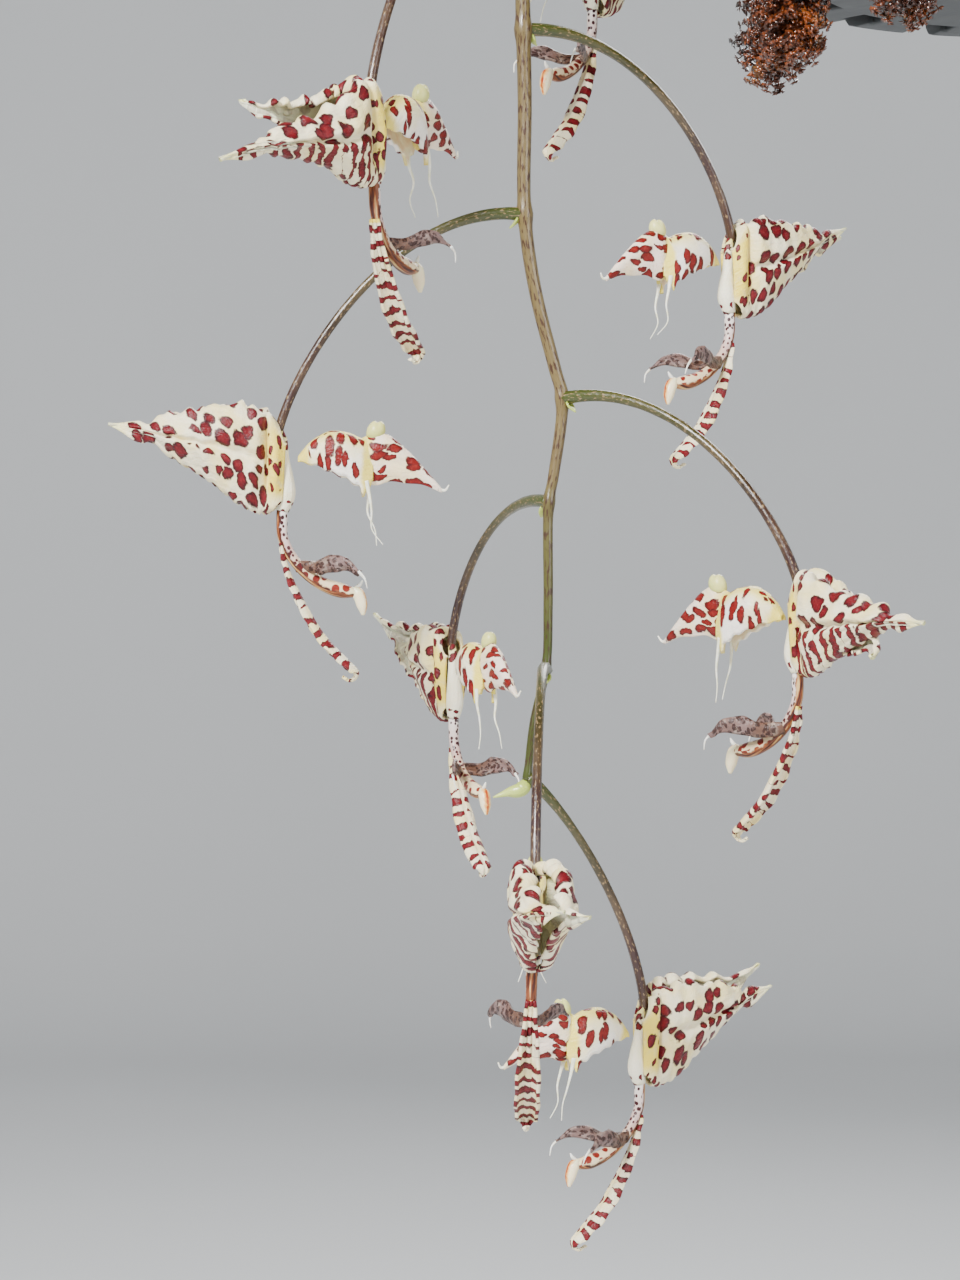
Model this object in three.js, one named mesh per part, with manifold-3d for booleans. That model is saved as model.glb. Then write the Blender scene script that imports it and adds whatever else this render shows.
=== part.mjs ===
// A potted Gongora arcuata, an orchid whose flower spike hangs down beside its pot.
// Millimetres, +Z up. The origin is the point where the hook rests on what it hangs from, and the pot's
// axis is the Z axis. -Y is the front: the side from which all the blooms are seen beside the pot.
import * as THREE from "three";
import { mergeVertices } from "three/addons/utils/BufferGeometryUtils.js";
import Module from "manifold-3d";

const wasm = await Module();
wasm.setup();

// Driving dimensions of the pot and its hanger.
const CLEARANCE = 0.35; // left between pieces that touch on the real plant
const HOOK = { wireRadius: 1.5, bendRadius: 14, collarTop: -46, collarHeight: 12, collarRadius: 5.5 };
const HANGER_WIRE = { radius: 1.1, directions: [0, 120, 240], rootRadius: 2.9, holeRadius: 66 };
const POT = {
  rimZ: -258,
  height: 112,
  rimRadius: 62,
  baseRadius: 46,
  wall: 2.2,
  lipRadius: 70,
  lipHeight: 2.6,
  slots: 18,
  slotWidth: 6,
  slotHeight: 64,
  slotDepth: 10,
};
const POT_BASE_Z = POT.rimZ - POT.height;

// Driving dimensions of the plant in the pot.
const MEDIUM = { edgeBelowRim: 9, crown: 5, lump: 1.6 };
const MOSS_TUFTS = [
  { slot: 9, length: 15, girth: 6, lean: 2 },
  { slot: 10, length: 17, girth: 7, lean: 0 },
  { slot: 12, length: 13, girth: 6, lean: 3 },
  { slot: 16, length: 10, girth: 5, lean: 1 },
  { slot: 4, length: 12, girth: 6, lean: 2 },
];
const BULB = { ribs: 8, sunk: 9 };
const BULBS = [
  {
    x: -24, y: 12, radius: 14.5, height: 58, root: { turn: 118, sway: 3 },
    leaves: [
      { turn: 150, length: 215, width: 46, rise: 0.5 },
      { turn: 222, length: 190, width: 42, rise: 0.42 },
    ],
  },
  {
    x: 0, y: -14, radius: 14, height: 55, root: { turn: 262, sway: -4 },
    leaves: [
      { turn: 252, length: 205, width: 44, rise: 0.46 },
      { turn: 310, length: 235, width: 50, rise: 0.52 },
    ],
  },
  {
    x: 8, y: 22, radius: 14, height: 54,
    leaves: [
      { turn: 98, length: 210, width: 44, rise: 0.48 },
      { turn: 30, length: 180, width: 40, rise: 0.6 },
    ],
  },
  { x: 31, y: -4, radius: 13, height: 48, leaves: [{ turn: 335, length: 170, width: 38, rise: 0.4 }] },
  { x: -14, y: 41, radius: 10.5, height: 40, leaves: [] },
];
const LEAF = { thickness: 0.8, pleats: 3, pleat: 1.4, cup: 0.18, stalkWidth: 4.2, bellPeak: 0.217 };
const ROOT_RADIUS = 1.2;

// Driving dimensions of the hanging flower stem. It leaves the medium beside the oldest leafy bulb, arches
// over the pot's rim and hangs straight down. arch is [x, y, above the rim]. Places lower down are
// [across from x, below top].
const STEM = {
  x: -80,
  top: POT_BASE_Z - 3,
  radiusTop: 1.3,
  radiusEnd: 0.65,
  arch: [
    [-42, 11, -16], [-46, 10, -4], [-56, 7, 9], [-69, 3, 8], [-77, 1, -6], [-79.6, 0, -30], [-80, 0, -70],
  ],
};
const STEM_COURSE = [
  [0.4, 0], [0.7, 15], [0.7, 32], [2.2, 43], [5.2, 55], [6.3, 59.5], [5, 71], [4.3, 75],
  [4.2, 90], [3.9, 99.5], [2, 108], [1, 116.5],
];
const STEM_TIP = [-4, 119];

// The eight blooms. node is how far below the stem's top the stalk leaves it. hangs is where the stalk
// meets the bloom: across from the stem's x, to the back, and below the stem's top. facing is the heading
// of the swept-back sepals, counted from +X towards the back. pitch and roll tilt the bloom. Each lateral
// sepal has a turn about the upright, a droop that lowers its point, and a span, which is the share of
// its length that it keeps where its point is curled up.
const BLOOMS = [
  { name: "a", node: -15, hangs: [-21.6, -28.7, 19.5], facing: -118, pitch: 9, roll: 3, size: 1.02,
    stalk: [0.45, 9, 17],
    left: { turn: -26, droop: 5, span: 0.8 }, right: { turn: -24, droop: 22, span: 1 } },
  { name: "b", node: -34, hangs: [12.2, 21.5, -14.5], facing: 51, pitch: 2, roll: 1, size: 0.99,
    stalk: [0.45, 9, 12],
    left: { turn: 12, droop: -5, span: 1 }, right: { turn: 12, droop: -2, span: 1 } },
  { name: "c", node: 4.5, hangs: [33.3, 16.3, 33.7], facing: 32, pitch: 2, roll: 3, size: 0.965,
    stalk: [0.5, 3, 15],
    left: { turn: 6, droop: -9, span: 1 }, right: { turn: 5, droop: -6, span: 1 } },
  { name: "d", node: 32, hangs: [-36.3, -1.8, 64.6], facing: 182, pitch: 0, roll: 0, size: 0.99,
    stalk: [0.5, 2, 12],
    left: { turn: 0, droop: 0, span: 1 }, right: { turn: 0, droop: 0, span: 1 } },
  { name: "e", node: 59.5, hangs: [40.1, -19, 88.4], facing: -41, pitch: 3, roll: -5, size: 1,
    stalk: [0.5, 3, 12],
    left: { turn: -13, droop: 10, span: 1 }, right: { turn: -18, droop: 32, span: 0.75 } },
  { name: "f", node: 75, hangs: [-10.7, 27.1, 96.4], facing: 115, pitch: 2, roll: 0, size: 0.965,
    stalk: [0.5, 3, 12],
    left: { turn: 11, droop: -13, span: 1 }, right: { turn: -6, droop: -2, span: 0.95 } },
  { name: "g", node: 100, hangs: [1.7, -31.1, 129], facing: -91, pitch: 4, roll: 2, size: 1.01,
    stalk: [0.5, 3, 15],
    left: { turn: 4, droop: 6, span: 0.85 }, right: { turn: 10, droop: 9, span: 1 } },
  { name: "h", node: 116, hangs: [19.6, 13.1, 152], facing: 26, pitch: 2, roll: 1, size: 0.975,
    stalk: [0.3, -4, 15],
    left: { turn: 9, droop: -4, span: 1 }, right: { turn: 8, droop: -13, span: 1 } },
];
const STALK = { radius: 0.75, aboveBloom: 1.2 };

// The shape of one bloom in its own frame: the stalk's end is the origin, +X points to the lip and +Z up.
// Outlines are [x, z] in profile, from the bloom's foot outwards.
const SEPAL_TOP = [[1.6, -0.6], [-1, 2.8], [-5.2, 4.2], [-11.4, 3.5], [-17.6, 2.4], [-24.3, 1.7]];
const SEPAL_BOTTOM = [[1, -11.4], [-1.6, -12.3], [-5, -11.2], [-10, -7.4], [-16.6, -3.4], [-24.1, 0.8]];
const SEPAL = {
  thickness: 0.7,
  spread: [1.6, 3.6, 4.8, 4.6, 3.4, 1.8],
  keel: 0.45,
  topRoll: 1.7,
  bottomRoll: 1.2,
  topBend: 140,
  bottomBend: 80,
  rollShares: [0.16, 0.72],
  pivot: [-2, -4],
};
const FOOT = [[0.5, 0.5], [1.2, -1.2], [1.4, -4], [1.5, -7], [1.3, -10], [0.9, -12.3]];
const FOOT_RADII = [0.8, 1.6, 1.75, 1.9, 1.8, 1.2];
const COLUMN = [
  [0.8, -12.9], [1, -15.6], [2.1, -18.3], [4.1, -20.8], [6.6, -22.6], [9.4, -23.7], [12.4, -24.2],
];
const COLUMN_RADII = [1, 0.85, 0.85, 0.9, 1.1, 1.35, 0.9];
const ANTHER_CAP = [[11.9, -23.8], [12.7, -25], [13.1, -27.2]];
const ANTHER_CAP_RADII = [0.75, 0.7, 0.35];
const PETAL = [[3.2, 0.3, -20.3], [5.9, 2.2, -20.6], [8, 3.7, -20.1], [10.2, 4.7, -19.9], [12.4, 5.6, -21.4]];
const PETAL_WIDTHS = [1.6, 1.9, 1.7, 1.1, 0.6];
const DORSAL_SEPAL = [
  [1.3, -17.4], [2.3, -21.2], [4.8, -26.1], [7.7, -30.8], [11, -34], [12.6, -35.8], [11.8, -37],
];
const DORSAL_SEPAL_WIDTHS = [1.6, 3.2, 3.9, 4, 3.4, 2.2, 0.8];
const LIP_RIDGE = [[3.6, -3], [5.4, -1.3], [8.2, 0], [11, -0.2], [13, -1], [15, -0.8]];
const LIP_WING = [[3.6, -4.7], [5.9, -5.2], [8.2, -6.2], [10.6, -7.1], [12.7, -8.6], [15, -7.5]];
const LIP_SPREAD = [0.7, 1.7, 2.2, 2.4, 2.3, 0.8];
const LIP_BLADE_TOP = [[13.6, -1], [16.6, -0.5], [19.6, -2.5], [22, -5], [24.6, -8.1]];
const LIP_BLADE_BOTTOM = [[13.6, -7.6], [16.6, -7.4], [19.4, -7.6], [21.6, -7.7], [24.2, -8.9]];
const LIP = { thickness: 0.8, bladeThickness: 1.3, knob: [15.3, 0.4], knobRadius: 1.25 };
const BRISTLE = [[13.4, 1.8, -7.6], [13.9, 1.9, -11.6], [14.9, 1.6, -15], [15.3, 1.9, -16.4]];
const BRISTLE_RADIUS = 0.32;

const UP = new THREE.Vector3(0, 0, 1);
const degrees = THREE.MathUtils.degToRad;
const { lerp, clamp } = THREE.MathUtils;
const vector = (x, y, z) => new THREE.Vector3(x, y, z);
const heading = (turn) => vector(Math.cos(degrees(turn)), Math.sin(degrees(turn)), 0);

// A repeatable draw of numbers from 0 to 1.
function seededRandom(seed) {
  let state = seed;
  return () => {
    state = (state * 1664525 + 1013904223) % 4294967296;
    return state / 4294967296;
  };
}

// A smooth curve through points in the XZ plane, at a sideways place of its own.
function profileCurve(points, y = 0) {
  return new THREE.CatmullRomCurve3(points.map(([x, z]) => vector(x, y, z)));
}

// The value at u between evenly spaced values.
function along(values, u) {
  const place = clamp(u, 0, 1) * (values.length - 1);
  const index = Math.min(Math.floor(place), values.length - 2);
  return lerp(values[index], values[index + 1], place - index);
}

const evenly = (count) => Array.from({ length: count + 1 }, (_, i) => i / count);

// A closed solid from a three.js geometry whose faces meet edge to edge.
function solidOf(geometry) {
  const bare = geometry.clone();
  bare.deleteAttribute("normal");
  bare.deleteAttribute("uv");
  const merged = mergeVertices(bare, 1e-4);
  return new wasm.Manifold(
    new wasm.Mesh({
      numProp: 3,
      vertProperties: new Float32Array(merged.attributes.position.array),
      triVerts: new Uint32Array(merged.index.array),
    }),
  );
}

function solidFrom(points, triangles) {
  const geometry = new THREE.BufferGeometry().setFromPoints(points);
  geometry.setIndex(triangles.flat());
  return solidOf(geometry);
}

const fuse = (solids) => solids.reduce((whole, piece) => whole.add(piece));

function geometryOf(solid) {
  const { numProp, vertProperties, triVerts } = solid.getMesh();
  const positions = new Float32Array((vertProperties.length / numProp) * 3);
  for (let i = 0; i < positions.length / 3; i++) {
    positions.set(vertProperties.subarray(i * numProp, i * numProp + 3), i * 3);
  }
  const geometry = new THREE.BufferGeometry();
  geometry.setAttribute("position", new THREE.BufferAttribute(positions, 3));
  geometry.setIndex(new THREE.BufferAttribute(new Uint32Array(triVerts), 1));
  geometry.computeVertexNormals();
  return geometry;
}

function namedMesh(name, solid, material) {
  const mesh = new THREE.Mesh(geometryOf(solid), material.clone());
  mesh.name = name;
  return mesh;
}

// A thin closed sheet over surface(u, v), with its two faces split into triangles alike.
function blade(surface, us, vs, thickness) {
  const step = 1e-3;
  const offset = (u, v, side) => {
    const du = surface(u + step, v).sub(surface(u - step, v));
    const dv = surface(u, v + step).sub(surface(u, v - step));
    return surface(u, v).addScaledVector(du.cross(dv).normalize(), (side * thickness) / 2);
  };
  const points = [];
  for (const side of [1, -1]) {
    for (const u of us) for (const v of vs) points.push(offset(u, v, side));
  }
  const columns = vs.length;
  const back = us.length * columns;
  const at = (i, j) => i * columns + j;
  const triangles = [];
  for (let i = 0; i < us.length - 1; i++) {
    for (let j = 0; j < columns - 1; j++) {
      const [a, b, c, d] = [at(i, j), at(i + 1, j), at(i + 1, j + 1), at(i, j + 1)];
      triangles.push([a, b, c], [a, c, d]);
      triangles.push([back + c, back + b, back + a], [back + d, back + c, back + a]);
    }
  }
  const edge = [];
  for (let i = 0; i < us.length - 1; i++) edge.push(at(i, 0));
  for (let j = 0; j < columns - 1; j++) edge.push(at(us.length - 1, j));
  for (let i = us.length - 1; i > 0; i--) edge.push(at(i, columns - 1));
  for (let j = columns - 1; j > 0; j--) edge.push(at(0, j));
  edge.forEach((a, k) => {
    const b = edge[(k + 1) % edge.length];
    triangles.push([b, a, back + a], [b, back + a, back + b]);
  });
  return solidFrom(points, triangles);
}

// The closed solid of a tube whose rings of points follow one another, each counted the same way round.
function tubeSolid(points, sides, steps) {
  const triangles = [];
  for (let i = 0; i < steps; i++) {
    for (let k = 0; k < sides; k++) {
      const [a, b] = [i * sides + k, i * sides + ((k + 1) % sides)];
      triangles.push([a, b, b + sides], [a, b + sides, a + sides]);
    }
  }
  for (let k = 1; k < sides - 1; k++) {
    const last = steps * sides;
    triangles.push([0, k + 1, k], [last, last + k, last + k + 1]);
  }
  const solid = solidFrom(points, triangles);
  if (solid.volume() > 0) return solid;
  return solidFrom(points, triangles.map(([a, b, c]) => [a, c, b]));
}

// A closed rod along a curve, with a radius for each evenly spaced place on it.
function rod(curve, radii, sides, steps) {
  const frames = curve.computeFrenetFrames(steps, false);
  const points = [];
  for (let i = 0; i <= steps; i++) {
    const centre = curve.getPointAt(i / steps);
    const radius = along(radii, i / steps);
    for (let k = 0; k < sides; k++) {
      const angle = (2 * Math.PI * k) / sides;
      points.push(
        centre.clone()
          .addScaledVector(frames.normals[i], radius * Math.cos(angle))
          .addScaledVector(frames.binormals[i], radius * Math.sin(angle)),
      );
    }
  }
  return tubeSolid(points, sides, steps);
}

// Materials, as seen in the photograph or usual for such a piece.
function finish(color, roughness, metalness = 0) {
  return new THREE.MeshStandardMaterial({ color, roughness, metalness, side: THREE.DoubleSide });
}
const STEEL_WIRE = finish(0x9a9c9e, 0.35, 1);
const POT_PLASTIC = finish(0x23272a, 0.5);
const SPHAGNUM = finish(0x9a5b26, 0.95);
const BULB_SKIN = finish(0x7f9a45, 0.55);
const LEAF_SKIN = finish(0x3f7a33, 0.5);
const STEM_SKIN = finish(0xa58d5c, 0.55);
const SEPAL_SKIN = finish(0xd9b49a, 0.5);
const COLUMN_SKIN = finish(0xb9713f, 0.45);
const LIP_SKIN = finish(0xe6b7a4, 0.4);

// The hook: a crook, a straight shank and the collar that gathers the three wires.
function hookSolid() {
  const { wireRadius, bendRadius, collarTop, collarHeight, collarRadius } = HOOK;
  const crookZ = wireRadius - bendRadius;
  const crook = [-25, 10, 45, 80, 115, 150, 185, 215].map((turn) => {
    const out = vector(Math.cos(degrees(turn)), 0, Math.sin(degrees(turn)));
    return vector(0, 0, crookZ).addScaledVector(out, bendRadius);
  });
  const shank = [vector(-3.5, 0, -29), vector(0, 0, -37), vector(0, 0, collarTop - 6)];
  const wire = rod(new THREE.CatmullRomCurve3([...crook, ...shank]), [wireRadius, wireRadius], 7, 20);
  const foot = collarTop - collarHeight;
  const outline = [
    [0, foot], [collarRadius - 1, foot], [collarRadius, foot + 1],
    [collarRadius, collarTop - 2], [collarRadius - 1.5, collarTop], [0, collarTop],
  ];
  return fuse([wire, latheSolid(outline, 14)]);
}

// A solid turned round the Z axis from [radius, z] points that start and end on the axis.
function latheSolid(outline, segments, reshape = () => {}) {
  const lathe = new THREE.LatheGeometry(outline.map(([r, z]) => new THREE.Vector2(r, z)), segments);
  lathe.rotateX(Math.PI / 2);
  const bare = lathe.clone();
  bare.deleteAttribute("normal");
  bare.deleteAttribute("uv");
  const merged = mergeVertices(bare, 1e-4);
  const places = merged.attributes.position;
  for (let i = 0; i < places.count; i++) {
    const place = vector(0, 0, 0).fromBufferAttribute(places, i);
    reshape(place);
    places.setXYZ(i, place.x, place.y, place.z);
  }
  return solidOf(merged);
}

// One hanger wire: out of the collar, down to the rim, through its hole and turned up under it.
function hangerWireSolid(turn, extra = 0) {
  const out = heading(turn);
  const at = (radius, z) => out.clone().multiplyScalar(radius).setZ(z);
  const { rootRadius, holeRadius, radius } = HANGER_WIRE;
  const underLip = POT.rimZ - POT.lipHeight;
  const course = [
    at(rootRadius, HOOK.collarTop - 7),
    at(rootRadius + 1, HOOK.collarTop - HOOK.collarHeight - 2),
    at(holeRadius - 2, POT.rimZ + 8),
    at(holeRadius, POT.rimZ + 2),
    at(holeRadius, underLip - 3),
    at(holeRadius + 2.4, underLip - 5.2),
    at(holeRadius + 4.8, underLip - 3.4),
  ];
  return mitredWire(course, vector(0, 0, 1).cross(out), radius + extra, 7);
}

// A wire of straight stretches in one plane, with mitred corners. side is square to that plane.
function mitredWire(course, side, radius, sides) {
  const points = [];
  course.forEach((centre, i) => {
    const before = course[Math.max(i, 1)].clone().sub(course[Math.max(i, 1) - 1]).normalize();
    const next = Math.min(i, course.length - 2);
    const after = course[next + 1].clone().sub(course[next]).normalize();
    const tangent = before.clone().add(after).normalize();
    const across = tangent.clone().cross(side).normalize();
    const stretch = 1 / Math.cos(before.angleTo(after) / 2);
    for (let k = 0; k < sides; k++) {
      const angle = (2 * Math.PI * k) / sides;
      points.push(
        centre.clone()
          .addScaledVector(side, radius * Math.cos(angle))
          .addScaledVector(across, stretch * radius * Math.sin(angle)),
      );
    }
  });
  return tubeSolid(points, sides, course.length - 1);
}

// The pot: a tapered cup with a broad lip, slotted round its lower wall and the corner of its base.
function potSolid() {
  const { rimZ, rimRadius, baseRadius, wall, lipRadius, lipHeight } = POT;
  const outline = [
    [0, POT_BASE_Z], [baseRadius - 2, POT_BASE_Z], [baseRadius, POT_BASE_Z + 2],
    [rimRadius, rimZ - lipHeight], [lipRadius, rimZ - lipHeight], [lipRadius, rimZ],
    [rimRadius - wall, rimZ], [baseRadius - wall, POT_BASE_Z + wall], [0, POT_BASE_Z + wall],
  ];
  const slot = new THREE.BoxGeometry(POT.slotDepth + 30, POT.slotWidth, POT.slotHeight);
  const slotMiddle = baseRadius - POT.slotDepth + (POT.slotDepth + 30) / 2;
  slot.translate(slotMiddle, 0, POT_BASE_Z - 1 + POT.slotHeight / 2);
  const cuts = evenly(POT.slots).slice(1).map((share) =>
    solidOf(slot.clone().rotateZ(2 * Math.PI * (share - 0.5 / POT.slots))),
  );
  const holes = HANGER_WIRE.directions.map((turn) => {
    const place = heading(turn).multiplyScalar(HANGER_WIRE.holeRadius);
    return holeSolid(place, HANGER_WIRE.radius + 1, rimZ - lipHeight - 1, rimZ + 1);
  });
  return latheSolid(outline, 2 * POT.slots).subtract(fuse([...cuts, ...holes]));
}

// An upright plain hole, to be cut.
function holeSolid(place, radius, bottom, top) {
  const shaft = new THREE.CylinderGeometry(radius, radius, top - bottom, 10);
  shaft.rotateX(Math.PI / 2).translate(place.x, place.y, (top + bottom) / 2);
  return solidOf(shaft);
}

// Height of the medium's domed surface, before its lumps.
function mediumHeight(x, y) {
  const share = Math.hypot(x, y) / POT.rimRadius;
  return POT.rimZ - MEDIUM.edgeBelowRim + (MEDIUM.edgeBelowRim + MEDIUM.crown) * (1 - share * share);
}

// The bark and moss that fill the pot, with tufts of moss that hang out of the slots under it.
function mediumSolid() {
  const draw = seededRandom(11);
  const foot = POT_BASE_Z + POT.wall + CLEARANCE;
  const edge = POT.rimZ - MEDIUM.edgeBelowRim;
  const slope = (POT.rimRadius - POT.baseRadius) / POT.height;
  const inside = (z) => POT.baseRadius - POT.wall - 2 * CLEARANCE + slope * (z - POT_BASE_Z);
  const outline = [[0, foot], [inside(foot), foot], [inside(edge), edge]];
  for (const share of [0.78, 0.55, 0.3, 0]) outline.push([share * inside(edge), edge + 1]);
  const heap = latheSolid(outline, 20, (place) => {
    if (place.z > edge + 0.5) place.z = mediumHeight(place.x, place.y) + MEDIUM.lump * (draw() - 0.5);
  });
  const bulbHoles = BULBS.map((bulb) =>
    holeSolid(bulb, 1.08 * bulb.radius, mediumHeight(bulb.x, bulb.y) - BULB.sunk - CLEARANCE, POT.rimZ + 20),
  );
  const roots = BULBS.filter((bulb) => bulb.root).map((bulb) => rootSolid(bulb, CLEARANCE));
  const bored = heap.subtract(fuse([...bulbHoles, ...roots, stemSolid(CLEARANCE)]));
  return fuse([bored, ...MOSS_TUFTS.map(mossTuftSolid)]);
}

// A tuft of moss: a neck through one slot of the pot's base and a ragged hanging clump below it.
function mossTuftSolid({ slot, length, girth, lean }) {
  const out = heading((360 * (slot - 0.5)) / POT.slots);
  const neckRadius = POT.baseRadius - POT.slotDepth / 2;
  const at = (radius, below) => out.clone().multiplyScalar(radius).setZ(POT_BASE_Z - below);
  const course = new THREE.CatmullRomCurve3([
    at(neckRadius, -POT.wall - 3),
    at(neckRadius, 0.5),
    at(neckRadius + lean * 0.3, girth * 0.9),
    at(neckRadius + lean, length),
  ]);
  const neck = POT.slotWidth / 2 - CLEARANCE - 0.15;
  return rod(course, [neck, neck, neck, girth * 0.8, girth, girth * 0.8, girth * 0.55, 0.8], 6, 6);
}

// Outline of a pseudobulb as shares of its radius, from its foot to its top.
const BULB_OUTLINE = [0.55, 0.9, 1, 0.95, 0.76, 0.52, 0.28];

function bulbBase(bulb) {
  return mediumHeight(bulb.x, bulb.y) - BULB.sunk;
}

// A ribbed pseudobulb, standing in the medium, with its root where it has one.
function bulbSolid(bulb) {
  const foot = bulbBase(bulb);
  const last = BULB_OUTLINE.length - 1;
  const outline = BULB_OUTLINE.map((share, i) => [share * bulb.radius, (bulb.height * i) / last]);
  const ribbed = latheSolid([[0, 0], ...outline, [0, bulb.height]], 2 * BULB.ribs, (place) => {
    const around = Math.atan2(place.y, place.x);
    const rib = 1 + 0.06 * Math.cos(BULB.ribs * around);
    place.set(bulb.x + place.x * rib, bulb.y + place.y * rib, foot + place.z);
  });
  return bulb.root ? fuse([ribbed, rootSolid(bulb, 0)]) : ribbed;
}

// A root that leaves the foot of a pseudobulb and lies half sunk in the medium.
function rootSolid(bulb, extra) {
  const out = heading(bulb.root.turn);
  const side = heading(bulb.root.turn + 90);
  const lie = [0.3, 1, 1.35, 1.7, 2.05].map((reach, i) => {
    const sway = bulb.root.sway * Math.sin(1.7 * i);
    const place = vector(bulb.x, bulb.y, 0).addScaledVector(out, reach * bulb.radius);
    place.addScaledVector(side, sway);
    return place.setZ(mediumHeight(place.x, place.y) + (i === 0 ? -2 : 0.4));
  });
  const radius = ROOT_RADIUS + extra;
  return rod(new THREE.CatmullRomCurve3(lie), [radius, radius, radius, 0.7 * radius], 5, 5);
}

// A pleated leaf: a thin blade on an arching midline, folded in pleats along its length.
function leafSolid(bulb, leaf) {
  const out = heading(leaf.turn);
  const side = heading(leaf.turn + 90);
  const foot = vector(bulb.x, bulb.y, bulbBase(bulb) + bulb.height + CLEARANCE + 0.3).addScaledVector(out, 4);
  const reach = (across, up) =>
    foot.clone().addScaledVector(out, across * leaf.length).addScaledVector(UP, up * leaf.length);
  const midline = new THREE.CubicBezierCurve3(
    foot, reach(0.12, 0.33), reach(0.5, leaf.rise + 0.1), reach(0.88, leaf.rise - 0.35),
  );
  const width = (u) => {
    const bell = (Math.pow(u, 1.6) * Math.pow(1 - u, 0.8)) / LEAF.bellPeak;
    return LEAF.stalkWidth * (1 - 0.75 * u) + leaf.width * bell;
  };
  const surface = (u, v) => {
    const lift = vector(0, 0, 0).crossVectors(side, midline.getTangent(clamp(u, 0, 1))).normalize();
    const half = width(clamp(u, 0, 1)) / 2;
    const across = 2 * v - 1;
    const pleat = LEAF.pleat * Math.cos(LEAF.pleats * Math.PI * across) * Math.min(1, half / 12);
    const cup = LEAF.cup * half * across * across;
    const place = midline.getPoint(clamp(u, 0, 1)).addScaledVector(side, across * half);
    return place.addScaledVector(lift, -pleat - cup);
  };
  const rows = [0, 0.12, 0.25, 0.39, 0.54, 0.69, 0.83, 0.93, 1];
  return blade(surface, rows, evenly(2 * LEAF.pleats), LEAF.thickness);
}

// Course of the flower stem: out of the medium, over the rim and down.
function stemCurve() {
  const arch = STEM.arch.map(([x, y, z]) => vector(x, y, POT.rimZ + z));
  const hanging = STEM_COURSE.map(([across, down]) => vector(STEM.x + across, 0, STEM.top - down));
  return new THREE.CatmullRomCurve3([...arch, ...hanging], false, "centripetal");
}

function stemSolid(extra = 0) {
  const { radiusTop, radiusEnd } = STEM;
  const shares = [radiusTop, radiusTop, radiusTop, radiusTop * 0.85, radiusEnd];
  const radii = shares.map((radius) => radius + extra);
  return rod(stemCurve(), radii, 6, 38);
}

const beside = ([across, down]) => vector(STEM.x + across, 0, STEM.top - down);

// The middle of the stem at a distance below its top. Above it the stem hangs straight.
function onStem(down) {
  const next = Math.max(1, STEM_COURSE.findIndex((place) => place[1] >= down));
  const [above, below] = [STEM_COURSE[next - 1], STEM_COURSE[next]];
  const share = clamp((down - above[1]) / (below[1] - above[1]), 0, 1);
  return beside([lerp(above[0], below[0], share), down]);
}

// Where a bloom meets its stalk.
function bloomPlace({ hangs: [across, back, down] }) {
  return vector(STEM.x + across, back, STEM.top - down);
}

function bloomTurn({ facing, pitch, roll }) {
  return new THREE.Euler(degrees(roll), degrees(-pitch), degrees(facing + 180), "ZYX");
}

// The arched stalk of one bloom. It leaves the stem sideways and ends just above the bloom's foot.
function stalkSolid(bloom) {
  const start = onStem(bloom.node);
  const place = bloomPlace(bloom);
  const upright = UP.clone().applyEuler(bloomTurn(bloom));
  const end = place.clone().addScaledVector(upright, STALK.aboveBloom * bloom.size);
  const out = end.clone().sub(start).setZ(0);
  const [reach, lift, drop] = bloom.stalk;
  const first = start.clone().addScaledVector(out, reach).addScaledVector(UP, lift);
  const last = end.clone().addScaledVector(out, -0.08).addScaledVector(UP, drop);
  const curve = new THREE.CubicBezierCurve3(start, first, last, end);
  return rod(curve, [1.05, STALK.radius, STALK.radius, STALK.radius], 5, 9);
}

// A swollen node of the stem with the small bract under a stalk.
function nodeSolid(bloom) {
  const place = onStem(bloom.node);
  const out = bloomPlace(bloom).sub(place).setZ(0).normalize();
  const point = place.clone().addScaledVector(out, 2.4).addScaledVector(UP, -3.6);
  const bract = new THREE.LineCurve3(place, point);
  return rod(bract, [1.5, 0.3], 4, 1);
}

function flowerStemSolid() {
  const tip = new THREE.LineCurve3(beside(STEM_COURSE.at(-1)), beside(STEM_TIP));
  const stalks = BLOOMS.map(stalkSolid);
  return fuse([stemSolid(), rod(tip, [0.9, 0.3], 5, 1), ...stalks, ...BLOOMS.map(nodeSolid)]);
}

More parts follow.
